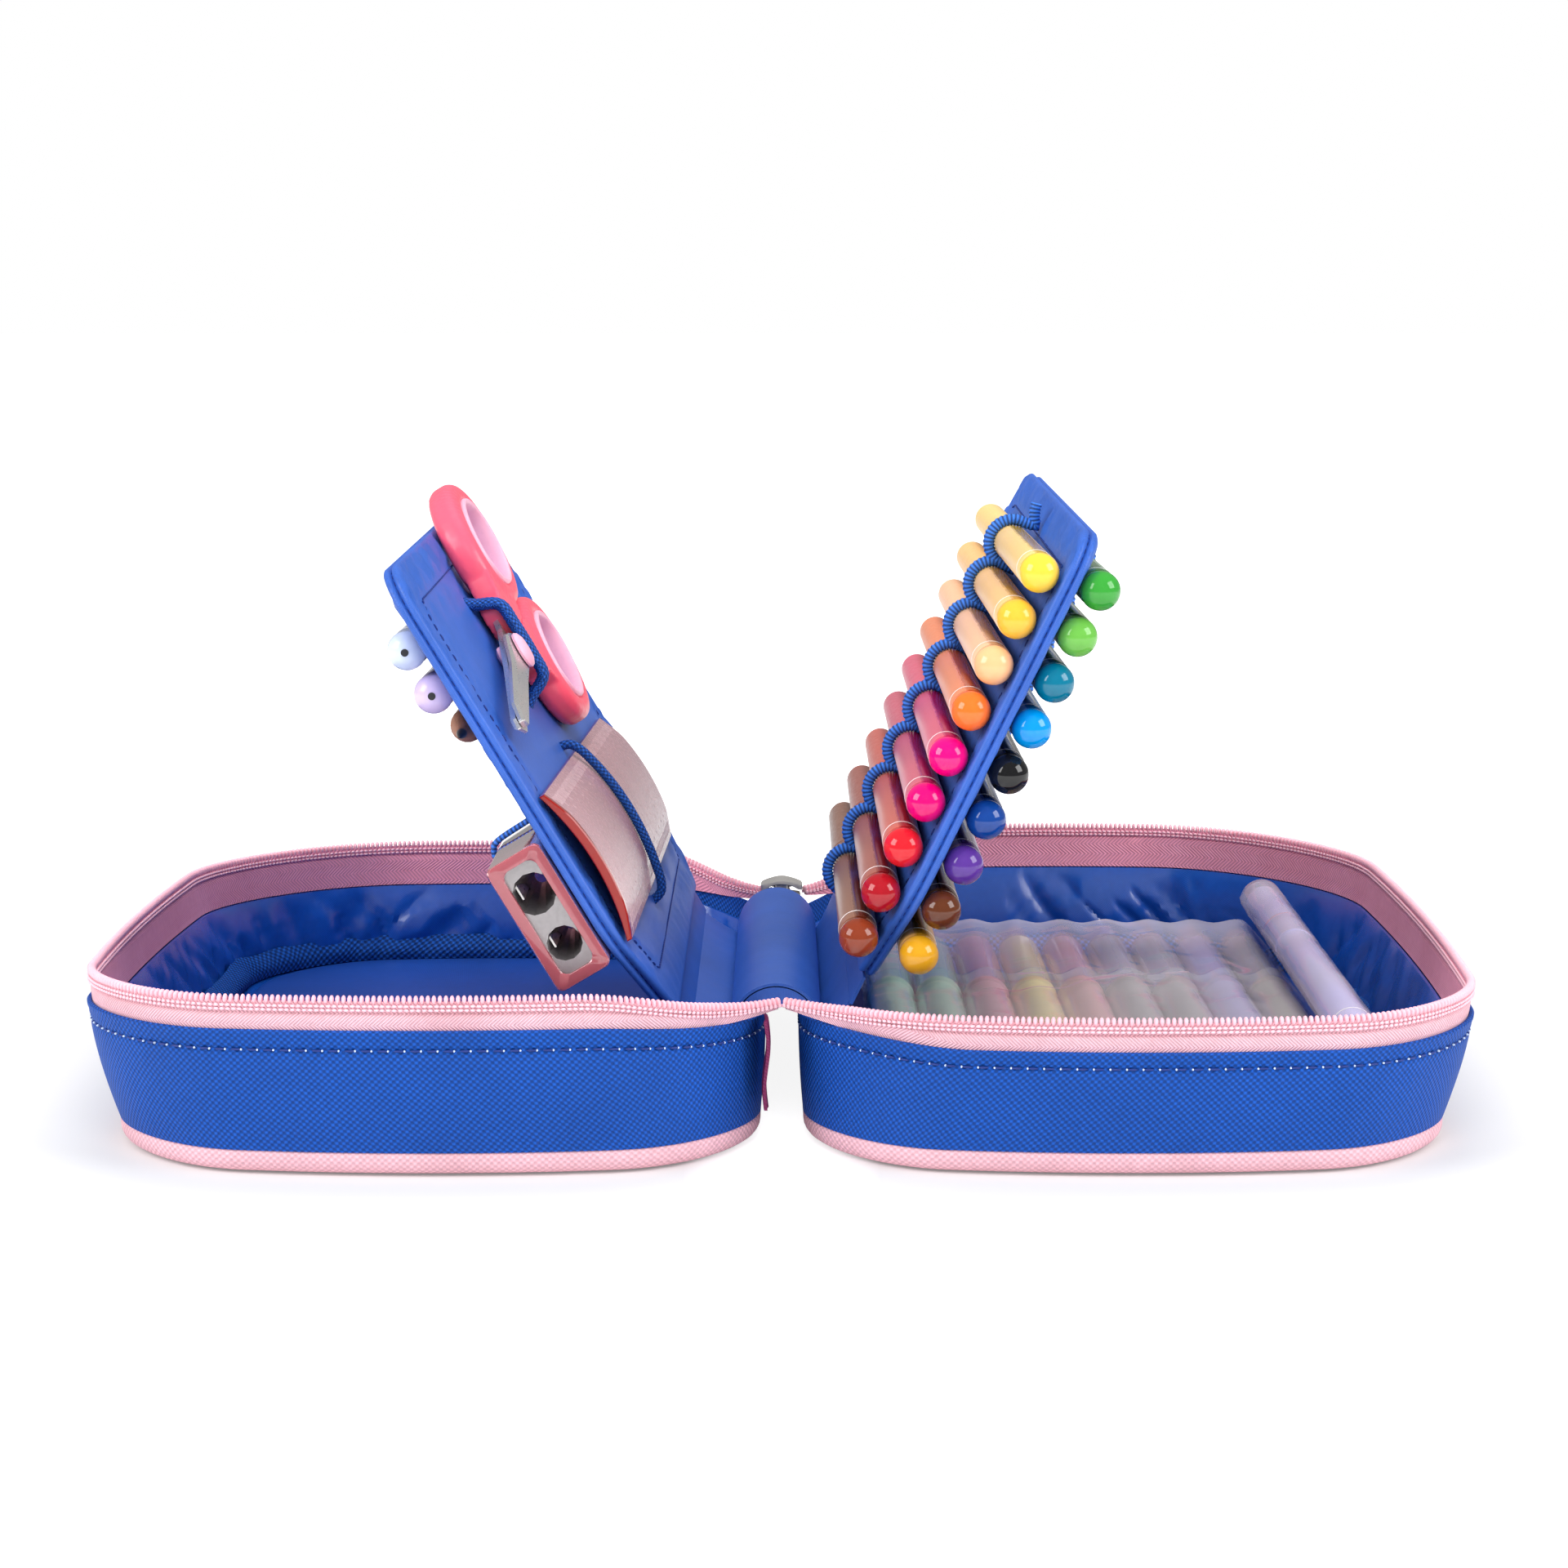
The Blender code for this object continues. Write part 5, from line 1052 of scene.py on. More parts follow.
def elastic_cord(name, hand, side, rounds, node, tail=False):
    """A ribbed cord sewn down between pens at (distance up the flap, pen radius), over each of them."""
    path = [(rounds[0][0] - rounds[0][1] - 1.4, FACE - 0.6)]
    for (t, radius), after in zip(rounds, rounds[1:] + [None]):
        reach = radius + 1.3
        for a in np.linspace(math.pi * 1.02, -math.pi * 0.02, 19):
            path.append((t + reach * math.cos(a), FACE + GAP + radius + reach * math.sin(a)))
        if after:
            path.append(((t + after[0]) / 2, FACE + 0.75))
    last = rounds[-1][0] + rounds[-1][1]
    path += ([(last + 1.7, FACE + 1.2), (last + 3.2, FACE + 2.3), (last + 4.8, FACE + 3.0), (last + 6.4, FACE + 3.3)]
             if tail else [(last + 2.0, FACE - 0.8)])
    path = np.array([(t, ELASTIC_Y, n * side) for t, n in path])
    cord_piece(name, hand, "cord", node, path, 1.12, sides=12, ribs=0.24, pitch=0.96)


def dress_pen_rows():
    for row, pens, first, side in (("front", FRONT_PENS, 15.7, 1), ("back", BACK_PENS, 17.8, -1)):
        for i, (colour, haze) in enumerate(pens):
            name = "%s_pen_%d" % (row, i + 1)
            place = Matrix.Translation(Vector((first + ROW_PITCH * i, -92.2, side * (FACE + GAP + PEN_RADIUS))))
            pen_piece(name, "right_flap", FLAP[RIGHT] @ place, PEN_RADIUS, PEN_LENGTH,
                      pen_looks(name, colour, haze, PEN_RADIUS), name)
        rounds = [(first + ROW_PITCH * i, PEN_RADIUS) for i in range(ROW_COUNT)]
        elastic_cord("right_%s_cord" % row, RIGHT, side, rounds, "right_%s_elastic" % row, tail=side > 0)


def dress_left_pens():
    """Two pens and a graphite pencil under the left flap."""
    for name, t, colour, slot in (("left_pen_1", 90.2, (0.62, 0.5, 0.78), "mauve"),
                                  ("left_pen_2", 100.6, (0.6, 0.68, 0.88), "ice")):
        place = FLAP[LEFT] @ Matrix.Translation(Vector((t, LEFT_PENS_Y, -(FACE + GAP + PEN_RADIUS))))
        pen_piece(name, "left_flap", place, PEN_RADIUS, PEN_LENGTH, pen_looks(name, colour, 0.2, PEN_RADIUS), slot)
        # A dark disc at each ball end stands in for the pen's vent hole: its darkness is painted shade.
        piece(built(name + "_vent", LOOKS["dark"], lambda bm: turned(bm, [(-0.05, 0), (-0.05, 0.8), (0.5, 0.8)], 16),
                    matrix=place), "left_flap")
    r = PENCIL_RADIUS
    place = FLAP[LEFT] @ Matrix.Translation(Vector((80.2, LEFT_PENS_Y, -(FACE + GAP + r))))
    lacquer = pen_material("pencil lacquer", (0.25, 0.06, 0.05))
    barrel = [(5.4, 1.1), (18, r), (18.6, r * 1.02), (149.4, r * 1.02), (150, r * 0.95)]
    piece(built("graphite_pencil_dressed", [LOOKS["wood"], LOOKS["lead"], lacquer],
                lambda bm: turned(bm, [(0, 0), (0.4, 0.35), (5.4, 1.1)], 18, look=1),
                lambda bm: turned(bm, barrel, 18, marks=[0, 2, 2, 2]), matrix=place),
          "left_flap", "wood", "graphite_pencil")
    elastic_cord("left_pen_cord", LEFT, -1, [(80.2, r), (90.2, PEN_RADIUS), (100.6, PEN_RADIUS)],
                 "left_pen_elastic")


# Scissors
SCISSORS_AT, SCISSORS_TURN = (86.0, -32.0), 11
SCISSORS = (FLAP[LEFT] @ Matrix.Translation(Vector((*SCISSORS_AT, FACE + GAP)))
            @ Matrix.Rotation(math.radians(-SCISSORS_TURN), 4, "Z"))
HANDLE_TOP, LOOP_LENGTH, LOOP_WIDTH, LOOP_CENTRE, LOOP_SIDE, SHANK_LENGTH = 7.4, 47.0, 31.0, 43.0, 15.8, 14.5
BLADE_LENGTH, BLADE_WIDTH, BLADE_THICK, BEVEL, HALF_GAP = 53, 11.5, 1.3, 1.1, 0.15


def remeshed(made, size, passes=6):
    """Turns overlapping closed shapes into one smooth moulded form."""
    change = made.modifiers.new("one form", "REMESH")
    change.mode = "VOXEL"
    change.voxel_size = size * MM
    smooth = made.modifiers.new("soften", "SMOOTH")
    smooth.factor = 0.5
    smooth.iterations = passes
    deps = bpy.context.evaluated_depsgraph_get()
    mesh = bpy.data.meshes.new_from_object(made.evaluated_get(deps))
    looks = list(made.data.materials)
    made.modifiers.clear()
    made.data = mesh
    mesh.materials.clear()
    for look in looks:
        mesh.materials.append(look)
    mesh.shade_smooth()


def loop_rows_of(centre, width, length, section):
    """Rows of a section swept round an oval. section gives (inset from the oval, height) points."""
    rows = []
    for k in range(44):
        a = math.tau * k / 44
        c, s = math.cos(a), math.sin(a)
        row = []
        for inset, height in section:
            row.append((centre[0] + (width / 2 - inset) * c, centre[1] + (length / 2 - inset) * s, height))
        rows.append(row)
    return rows


def dress_scissors():
    for hand, layer, body in ((-1, "front", "scissors_half"), (1, "back", "left_flap")):
        centre = (hand * LOOP_SIDE, LOOP_CENTRE)
        ring = [(0.0, 2.2), (0.0, 5.2), (0.9, 6.7), (2.6, 7.35), (4.4, 7.2), (5.5, 6.2), (5.6, 3.7), (5.5, 1.2),
                (4.4, 0.2), (2.6, 0.05), (0.9, 0.7)]
        outline = [(hand * 0.4, SHANK_LENGTH - 3.5), (hand * 9.6, SHANK_LENGTH - 4.0), (hand * 11.0, SHANK_LENGTH + 1),
                   (hand * 19.5, 24.5), (hand * 12.0, 30.0), (hand * 3.3, 33.5), (hand * 0.3, 27.0)]
        smooth = np.array(rounded([(a, b, 2.2) for a, b in (outline if hand > 0 else outline[::-1])], 4))
        shank = []
        for grow, n in ((1.0, 0.9), (0.3, 0.5), (0.0, 1.2), (0.0, 6.2), (0.3, 6.9), (1.0, 6.6)):
            points = smooth + (smooth.mean(axis=0) - smooth) * grow * 0.06
            shank.append(np.column_stack([points, np.full(len(points), n)]))
        loop = loop_rows_of(centre, LOOP_WIDTH, LOOP_LENGTH, ring)
        made = built("scissors_grip_" + layer, LOOKS["coral"], lambda bm: skin(bm, loop, looped=True, closed=True),
                     lambda bm: skin(bm, shank, closed=True, capped=True), matrix=SCISSORS)
        remeshed(made, 0.55)
        piece(made, body, "coral", "scissors_handle_" + layer)
        # Soft liner with a raised lip round the finger hole
        liner = [(4.9, 7.0), (5.2, 7.6), (5.9, 7.7), (6.4, 7.1), (6.5, 5.5), (6.6, 3.7), (6.5, 1.9), (6.4, 0.3),
                 (5.9, -0.05), (5.2, 0.0), (4.9, 0.6), (5.3, 3.7)]
        rows = loop_rows_of(centre, LOOP_WIDTH, LOOP_LENGTH, liner)
        piece(skinned("scissors_liner_" + layer, LOOKS["blush"], rows, matrix=SCISSORS, angle=60, looped=True),
              body, "blush")
    dress_blades()


def dress_blades():
    mid, half, long = HANDLE_TOP / 2, BLADE_WIDTH / 2, BLADE_LENGTH
    for side, layer, body in ((1, "front", "scissors_half"), (-1, "back", "left_flap")):
        low = mid + (HALF_GAP if layer == "front" else -1.45)
        corners = [(half * 0.55, -long * 0.3, 3), (3.5, -long * 0.9, 1.2), (0.7, -long, 0.4),
                   (-half * 0.25, -long * 0.97, 0.6), (-half * 0.5, -long * 0.3, 3), (-half * 0.7, 0, 3),
                   (-4.7, 8.0, 3), (-8.5, 14.5, 0.5), (-0.9, 14.5, 0.5), (half * 0.5, 6.5, 3), (half * 0.9, 0, 3)]
        corners = [(side * a, b, r) for a, b, r in corners]
        flat = np.array(rounded(corners if side < 0 else corners[::-1], 4))
        # The cutting side is ground: its edge on one face is drawn in
        ground = (np.sign(flat[:, 0]) == side) & (flat[:, 1] < -4)
        inner = flat.copy()
        inner[:, 0] -= np.sign(inner[:, 0]) * np.minimum(np.where(ground, BEVEL, 0.12), np.abs(inner[:, 0]) * 0.6)
        inner[:, 1] *= 0.996
        rings = (((flat, 0), (flat, 0.7), (inner, BLADE_THICK)) if layer == "front"
                 else ((inner, 0), (flat, 0.6), (flat, BLADE_THICK)))
        rows = [np.column_stack([ring, np.full(len(ring), low + rise)]) for ring, rise in rings]
        made = skinned("scissors_steel_" + layer, LOOKS["steel"], rows, matrix=SCISSORS, angle=12, capped=True)
        piece(made, body, "steel", "scissors_blade_" + layer)
    cap_low = mid + HALF_GAP + BLADE_THICK + 0.3
    profile = [(mid - 3.2, 0), (mid - 3.2, 2.4), (mid - 2.6, 3.2), (mid - 1.75, 3.3), (mid - 1.75, 1.85),
               (cap_low, 1.85), (cap_low, 4.1), (cap_low + 0.5, 4.25), (cap_low + 1.1, 3.9), (cap_low + 1.6, 2.8),
               (cap_low + 1.8, 1.2), (cap_low + 1.82, 0)]
    stand = Matrix.Rotation(math.pi / 2, 4, "X")
    piece(built("scissors_rivet", LOOKS["blush"], lambda bm: turned(bm, profile, 30, matrix=stand), matrix=SCISSORS,
                angle=40), "left_flap", "blush", "scissors_pivot")
    # Braided strap over the shanks
    along, turn = 8.5, math.radians(SCISSORS_TURN)
    t, y = SCISSORS_AT[0] + along * math.sin(turn), SCISSORS_AT[1] + along * math.cos(turn)
    over = FACE + GAP + mid + HALF_GAP + BLADE_THICK + 0.9
    rise = [(13.5, FACE - 0.8), (11.8, FACE + 1.6), (9.2, over - 0.3), (4, over + 0.25)]
    path = smooth_path([(t - a, y, n) for a, n in rise] + [(t + a, y, n) for a, n in rise[::-1]])
    cord_piece("scissors_strap", LEFT, "braid", "scissors_elastic", path, 2.2, sides=14, ribs=0.16, pitch=1.0, flat=0.6)


# Ruler
RULER_AT, RULER_TURN = (44.5, -90.5), 2
RULER = (FLAP[LEFT] @ Matrix.Translation(Vector((*RULER_AT, FACE + GAP)))
         @ Matrix.Rotation(math.radians(RULER_TURN), 4, "Z"))
RULER_LENGTH, RULER_WIDTH, RULER_THICK, RULER_BOW = 158.0, 34.5, 2.0, 2.6
RULER_FLAT, RULER_FALL = 0.62, 0.9


def ruler_top(share):
    """Height of the ruler's bowed upper face at a share of its half width, with its sloping edges."""
    fall = RULER_FALL * max(abs(share) - RULER_FLAT, 0) / (1 - RULER_FLAT)
    return RULER_BOW * (1 - share * share) + RULER_THICK - fall


def ruler_ticks(bm):
    """Plain ticks along both long edges, longer at each fifth and tenth."""
    edge = RULER_WIDTH / 2 - 1.6
    for k in range(151):
        size = 5.0 if k % 10 == 0 else 3.6 if k % 5 == 0 else 2.4
        for side in (-1, 1):
            (x0, z0), (x1, z1) = ((side * x, ruler_top(x / (RULER_WIDTH / 2)) + 0.03) for x in (edge, edge - size))
            y = 4 + k
            quad = [(x0, y - 0.11, z0), (x0, y + 0.11, z0), (x1, y + 0.11, z1), (x1, y - 0.11, z1)]
            top = [bm.verts.new(p) for p in quad]
            low = [bm.verts.new((p[0], p[1], p[2] - 0.06)) for p in quad]
            bm.faces.new(top)
            bm.faces.new(low[::-1])
            for i in range(4):
                bm.faces.new((top[i], low[i], low[(i + 1) % 4], top[(i + 1) % 4]))


def dress_ruler():
    length, half = RULER_LENGTH, RULER_WIDTH / 2
    shares = np.linspace(-1, 1, 25)
    rows = []
    for y in np.concatenate([[0.0, 0.25], np.linspace(2, length - 2, 12), [length - 0.25, length]]):
        shrink = 0.25 if y in (0.0, length) else 0.0
        lower = [(s * (half - shrink), y, RULER_BOW * (1 - s * s) + shrink) for s in shares]
        upper = [(s * (half - shrink), y, ruler_top(s) - shrink) for s in shares]
        rows.append(lower + upper[::-1])

    def edge_look(bm):
        for face in bm.faces:
            middle = face.calc_center_median()
            face.material_index = 1 if middle.y < 2.4 or abs(middle.x) > half - 0.3 else 0
    made = built("ruler_clear", [LOOKS["ruler"], LOOKS["ruler edge"]],
                 lambda bm: skin(bm, rows, closed=True, capped=True), edge_look, matrix=RULER, angle=25)
    piece(made, "left_flap", "clear_red", "ruler")
    piece(built("ruler_ticks", LOOKS["pale print"], ruler_ticks, matrix=RULER, smooth=False), "left_flap", "clear_red")
    along = RULER_LENGTH * 0.47
    t, y = RULER_AT[0] - along * math.tan(math.radians(RULER_TURN)), RULER_AT[1] + along
    points = [(t - 20.5, y, FACE - 0.6), (t - 19.6, y, FACE + 2.2)]
    for s in np.linspace(-0.95, 0.95, 13):
        height = FACE + GAP + RULER_BOW * (1 - s * s) + RULER_THICK + 1.1
        points.append((t + s * 18.0, y + 0.5 * math.sin(s * 3), height))
    points += [(t + 19.6, y, FACE + 2.2), (t + 20.5, y, FACE - 0.6)]
    cord_piece("ruler_cord", LEFT, "braid", "ruler_elastic", smooth_path(points, 6), 1.0, sides=12, ribs=0.12,
               pitch=0.6)


# Sharpener in its clear box
def box_ring(t0, t1, n0, n1, radius, y):
    pts = rounded([(t0, n0, radius), (t1, n0, radius), (t1, n1, radius), (t0, n1, radius)], 5)
    return [(a, y, b) for a, b in pts]


def dress_sharpener():
    t0, t1 = 25.0, 54.8
    n1 = -(FACE + GAP)
    n0 = n1 - 12.8
    near, far, wall = -91.5, -47.5, 0.9

    def rings(radius, steps):
        return [box_ring(t0 + inset, t1 - inset, n0 + inset, n1 - inset, radius, y) for y, inset in steps]
    outside = rings(2.0, ((far, 0.6), (far - 0.5, 0.15), (far - 1.2, 0.0), (near + 0.4, 0.0), (near, 0.25)))
    inside = rings(1.4, ((near, wall), (near + 0.5, wall + 0.1), (far - wall - 0.6, wall + 0.1),
                         (far - wall, wall + 0.5)))
    piece(skinned("sharpener_case", LOOKS["pink box"], outside + inside, matrix=FLAP[LEFT], angle=40, capped=True),
          "left_flap", "clear_pink", "sharpener_box")
    # The box's thick front rim, before the block's face
    rim = rings(1.6, ((near - 0.1, 0.6), (near - 0.1, 2.5), (near + 0.35, 2.7), (near + 0.7, 2.5), (near + 0.7, 0.3),
                      (near + 0.2, 0.15)))
    piece(skinned("sharpener_case_rim", LOOKS["pink rim"], rim, matrix=FLAP[LEFT], angle=60, looped=True),
          "left_flap", "clear_pink")
    for node, look in (("sharpener_block", "cast"), ("sharpener_blade_small", "steel"),
                       ("sharpener_blade_large", "steel")):
        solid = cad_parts[node].data
        solid.materials.clear()
        solid.materials.append(LOOKS[look])
    y = near + 44 * 0.62
    start = [(-2.0, FACE - 0.8), (-1.6, FACE + 3), (-1.2, 13.3), (0.3, 15.4), (3, 15.85)]
    points = ([(t0 + a, y, -n) for a, n in start] + [(t0 + 15, y, -15.9)] + [(t1 - a, y, -n) for a, n in start[::-1]])
    cord_piece("sharpener_cord", LEFT, "cord", "sharpener_elastic", smooth_path(points, 6), 1.3, sides=12, ribs=0.06,
               pitch=0.5, flat=0.5, up=(0, 0, -1))


# Pouch of pens in the right tray
POUCH_FLOOR, POUCH_RADIUS, POUCH_LENGTH = 4.3, 5.65, 158.0
POUCH_AXIS = POUCH_FLOOR + 0.5 + POUCH_RADIUS
POUCH_FIRST, POUCH_PITCH = 26.0, 11.25
POUCH_COLOURS = ((0.3, 0.55, 0.45), (0.36, 0.6, 0.48), (0.6, 0.24, 0.34), (0.8, 0.66, 0.24), (0.6, 0.28, 0.28),
                 (0.3, 0.28, 0.29), (0.3, 0.28, 0.3), (0.34, 0.3, 0.55), (0.33, 0.3, 0.28))
MARKER_RADIUS = 4.7
FILM_NEAR, FILM_FAR, FILM_LOW = -87.0, 77.0, POUCH_FLOOR + 0.05


def dress_pouch_pens():
    r, split = POUCH_RADIUS, POUCH_LENGTH * 0.62
    arc = [(r * (1 - math.cos(a)), r * math.sin(a)) for a in np.linspace(0, 1.5, 8)]
    profile = arc + [(split - 12, r), (split - 11.6, r * 0.93), (split - 1, r * 0.93), (split, r),
                     (split + 2, r * 1.02), (split + 3, r), (150, r * 0.97), (155, r * 0.9), (157.4, r * 0.6),
                     (POUCH_LENGTH, 0)]
    looks = []
    for i, colour in enumerate(POUCH_COLOURS):
        looks += [pen_material("pouch pen %d" % (i + 1), colour),
                  pen_material("pouch cap %d" % (i + 1), tuple(c * 0.85 for c in colour))]

    def row(bm):
        for i in range(len(POUCH_COLOURS)):
            marks = [2 * i] * (len(arc) + 2) + [2 * i + 1] * (len(profile) - len(arc) - 3)
            place = Matrix.Translation(Vector((POUCH_FIRST + POUCH_PITCH * i, -84.0, POUCH_AXIS)))
            turned(bm, profile, 26, marks=marks, matrix=place)
    piece(built("pouch_pen_row", looks, row, angle=40), "right_tray", "pastel", "pouch_pens")


def dress_pouch():
    dress_pouch_pens()
    lilac = pen_material("marker lilac", (0.5, 0.46, 0.82))
    lie = Matrix.Rotation(math.radians(1.2), 4, "X")
    place = Matrix.Translation(Vector((121.5, -79.0, POUCH_AXIS + POUCH_RADIUS + 0.3 + MARKER_RADIUS))) @ lie
    pen_piece("pouch_marker", "marker", place, MARKER_RADIUS, 150.0, [lilac] * 3 + [LOOKS["white print"]], "lilac")
    # Film: a taut sleeve over the row of pens, and the loose part of it wrapped round the marker
    xs = np.concatenate([[20.0, 20.1], np.linspace(20.6, 115.8, 70), np.linspace(116.2, 124.3, 12), [124.5]])
    phase = (xs - POUCH_FIRST) / POUCH_PITCH * math.tau
    rows = []
    for y in np.linspace(FILM_NEAR, FILM_FAR, 120):
        share = (y - FILM_NEAR) / (FILM_FAR - FILM_NEAR)
        top = POUCH_AXIS + POUCH_RADIUS + 0.45 * np.cos(phase)
        top += 1.5 * share ** 3 * np.clip((xs - 20) / 8, 0, 1)
        points = np.column_stack([xs, np.full(len(xs), y), top])
        wave = (ripple(points * np.array([1, 0.55, 0]), 16.0, 2.0)
                + 0.5 * ripple(points * np.array([1, 1.4, 0]), 7.0, 8.0))
        top += 0.35 * np.clip(wave, 0, 2) + 0.8 * np.exp(-((y - 16.0 - 2.0 * np.cos(phase)) / 1.6) ** 2)
        top -= 7.0 * np.clip((xs - 117.5) / 7.0, 0, 1) ** 1.5
        top[0], top[1], top[-1] = FILM_LOW, mixed(FILM_LOW, top[2], 0.6), mixed(FILM_LOW, top[-2], 0.5)
        upper = np.column_stack([xs, np.full(len(xs), y), top])
        under = np.column_stack([xs[::-1], np.full(len(xs), y), np.full(len(xs), FILM_LOW)])
        rows.append(np.concatenate([upper, under[[0, len(xs) // 2, -1]]]))
    piece(skinned("pouch_film", LOOKS["film"], rows, angle=80), "right_tray", "film", "pouch")
    rows = []
    for along in (-5.0, -4.6, *np.linspace(-2.5, 150.3, 60), 151.6, 152.0):
        taper = 1.0 if -3 < along < 151 else 0.35
        pinch = 0.3 * math.exp(-((along - 82) / 3.0) ** 2)
        row = []
        for a in np.linspace(0, math.tau, 28, endpoint=False):
            spot = Vector((math.cos(a) * 0.9, math.sin(a) * 0.9, along / 11.0))
            reach = MARKER_RADIUS + 0.55 - pinch + 0.3 * max(noise.noise(spot), 0)
            reach = min(reach, 4.88) if math.sin(a) < -0.4 else reach
            row.append((reach * math.cos(a), along, reach * taper * math.sin(a)))
        rows.append(row)
    piece(skinned("marker_film", LOOKS["film"], rows, matrix=place, angle=80, capped=True), "marker", "film")


# Fold: satin roll with its skirts, slider, pull and tab
ROLL_RADIUS, ROLL_SHIFT, ROLL_SEAT, SKIRT_STEPS = 9.0, -1.2, 7.4, 70


def dress_roll():
    """A satin roll over the fold, with a skirt down to each flap. A second skin inside it closes both ends."""
    edges = {}
    for hand in (LEFT, RIGHT):
        angle = math.radians(LEAN[hand])
        edges[hand] = np.array(PIVOT[hand]) - 0.3 * np.array([hand * math.cos(angle), math.sin(angle)])
    rows, cores = [], []
    for y in np.linspace(-70, 70, 57):
        crown = HINGE_HEIGHT - HINGE_FALL * y / (TRAY_DEPTH / 2) + 0.8
        centre = np.array([ROLL_SHIFT, crown - ROLL_RADIUS])
        wobble = 0.25 * noise.noise(Vector((y / 18.0, 0.0, 3.0)))

        def arc(radius, start, end):
            return [centre + radius * np.array([math.cos(a), math.sin(a)]) for a in np.linspace(start, end, 25)]
        core = arc(ROLL_RADIUS - (0.55 if abs(y) < 69 else 0.15) + wobble, math.radians(32), math.radians(148))
        cores.append([(x, y, z) for x, z in core])
        foot = centre[1] - 3.5
        fold = 0.7 * noise.noise(Vector((y / 9.0, 2.0, 1.0)))
        right_mid = (edges[RIGHT] + (ROLL_SEAT, foot)) / 2 + np.array([0.4, 0.5 * fold])
        left_mid = (edges[LEFT] + (-ROLL_SEAT, foot)) / 2 + np.array([-0.3, -0.5 + 0.6 * fold])
        line = [edges[RIGHT], right_mid, np.array([ROLL_SEAT, foot]), *arc(ROLL_RADIUS + 0.4 + wobble, 0, math.pi),
                np.array([-ROLL_SEAT, foot]), left_mid, edges[LEFT]]
        line = resample(smooth_path(line, 3), 0.9)
        line = resample(line, np.linalg.norm(np.diff(line, axis=0), axis=1).sum() / SKIRT_STEPS)
        ahead = np.gradient(line, axis=0)
        ahead /= np.linalg.norm(ahead, axis=1)[:, None] + 1e-9
        side = np.stack([ahead[:, 1], -ahead[:, 0]], axis=1) * 0.3
        loop = np.concatenate([line + side, (line - side)[::-1]])
        rows.append(np.column_stack([loop[:, 0], np.full(len(loop), y), loop[:, 1]]))
    made = skinned("spine_roll", LOOKS["satin"], rows, cores, angle=80, capped=True)
    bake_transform(made)
    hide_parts("spine_band")


def dress_webs():
    for hand in (LEFT, RIGHT):
        rows = []
        for y in np.linspace(-74, 74, 41):
            bend = 0.25 * noise.noise(Vector((y / 12.0, 5.0, hand)))
            line = [(t, 0.3 + bend * math.sin(math.pi * t / 6)) for t in np.linspace(-0.2, 6.2, 7)]
            line += [(t, -0.3 + bend * math.sin(math.pi * t / 6)) for t in np.linspace(6.2, -0.2, 7)]
            rows.append([(t, y, n) for t, n in line])
        made = skinned(SIDE[hand] + "_web_cloth", LOOKS["satin"], rows, matrix=FLAP[hand], angle=80, capped=True)
        piece(made, SIDE[hand] + "_flap", "satin_blue", SIDE[hand] + "_hinge_web")


def dress_slider():
    """A low arched upper plate and a flat lower one on a post, with two ears that hold the pull."""
    parts = []
    for high, half, arch in ((28.2, 5.3, 1.3), (24.6, 4.8, 0.3)):
        rows = []
        for y, shrink, thin in ((76.6, 1.3, 0.35), (76.9, 0.6, 0.1), (77.6, 0.1, 0.0), (80.5, 0.0, 0.0),
                                (83.4, 0.3, 0.0), (84.5, 1.0, 0.1), (84.9, 1.8, 0.35)):
            bow = [(k / 6 - 1, arch * (k / 6 - 1) ** 2) for k in range(13)]
            upper = [(u * (half - shrink), y, high - thin - fall) for u, fall in bow]
            under = [(u * (half - shrink), y, high - 1.3 + thin - fall) for u, fall in bow[::-1]]
            rows.append(upper + under)
        parts.append(rows)
    post = ((-1.2, 77.4), (1.2, 77.4), (1.6, 80.5), (0.6, 83.5), (-0.6, 83.5), (-1.6, 80.5))
    parts.append([[(x, y, z) for x, y in post] for z in (24.0, 27.3)])
    ear = ((84.0, 25.2), (87.2, 25.0), (87.3, 26.6), (86.4, 27.2), (84.2, 27.3))
    for side in (-1, 1):
        parts.append([[(x, y, z) for y, z in ear] for x in (side * 1.6, side * 2.5)])
    piece(skinned("slider_cast", LOOKS["slider"], *parts, angle=50, capped=True), "left_tray", "slider", "slider_body")
    # Pull: a flat plate with rounded corners and a pressed groove, hung between the ears
    rows = []
    for z, half, thick in ((27.6, 1.1, 0.3), (27.3, 1.3, 0.5), (25.8, 1.3, 0.5), (24.8, 2.0, 0.6), (23.4, 2.6, 0.6),
                           (22.0, 2.75, 0.6), (21.4, 2.75, 0.35), (9.0, 2.75, 0.35), (8.4, 2.75, 0.6),
                           (7.0, 2.6, 0.6), (6.0, 2.1, 0.55), (5.5, 1.4, 0.3)):
        corners = ((-half, -thick), (half, -thick), (half, thick), (-half, thick))
        rows.append([(x, 86.0 + y, z) for x, y in rounded([(a, b, 0.25) for a, b in corners], 3)])
    piece(skinned("pull_plate", LOOKS["slider"], rows, angle=40, capped=True), "slider_pull", "slider", "slider_pull")


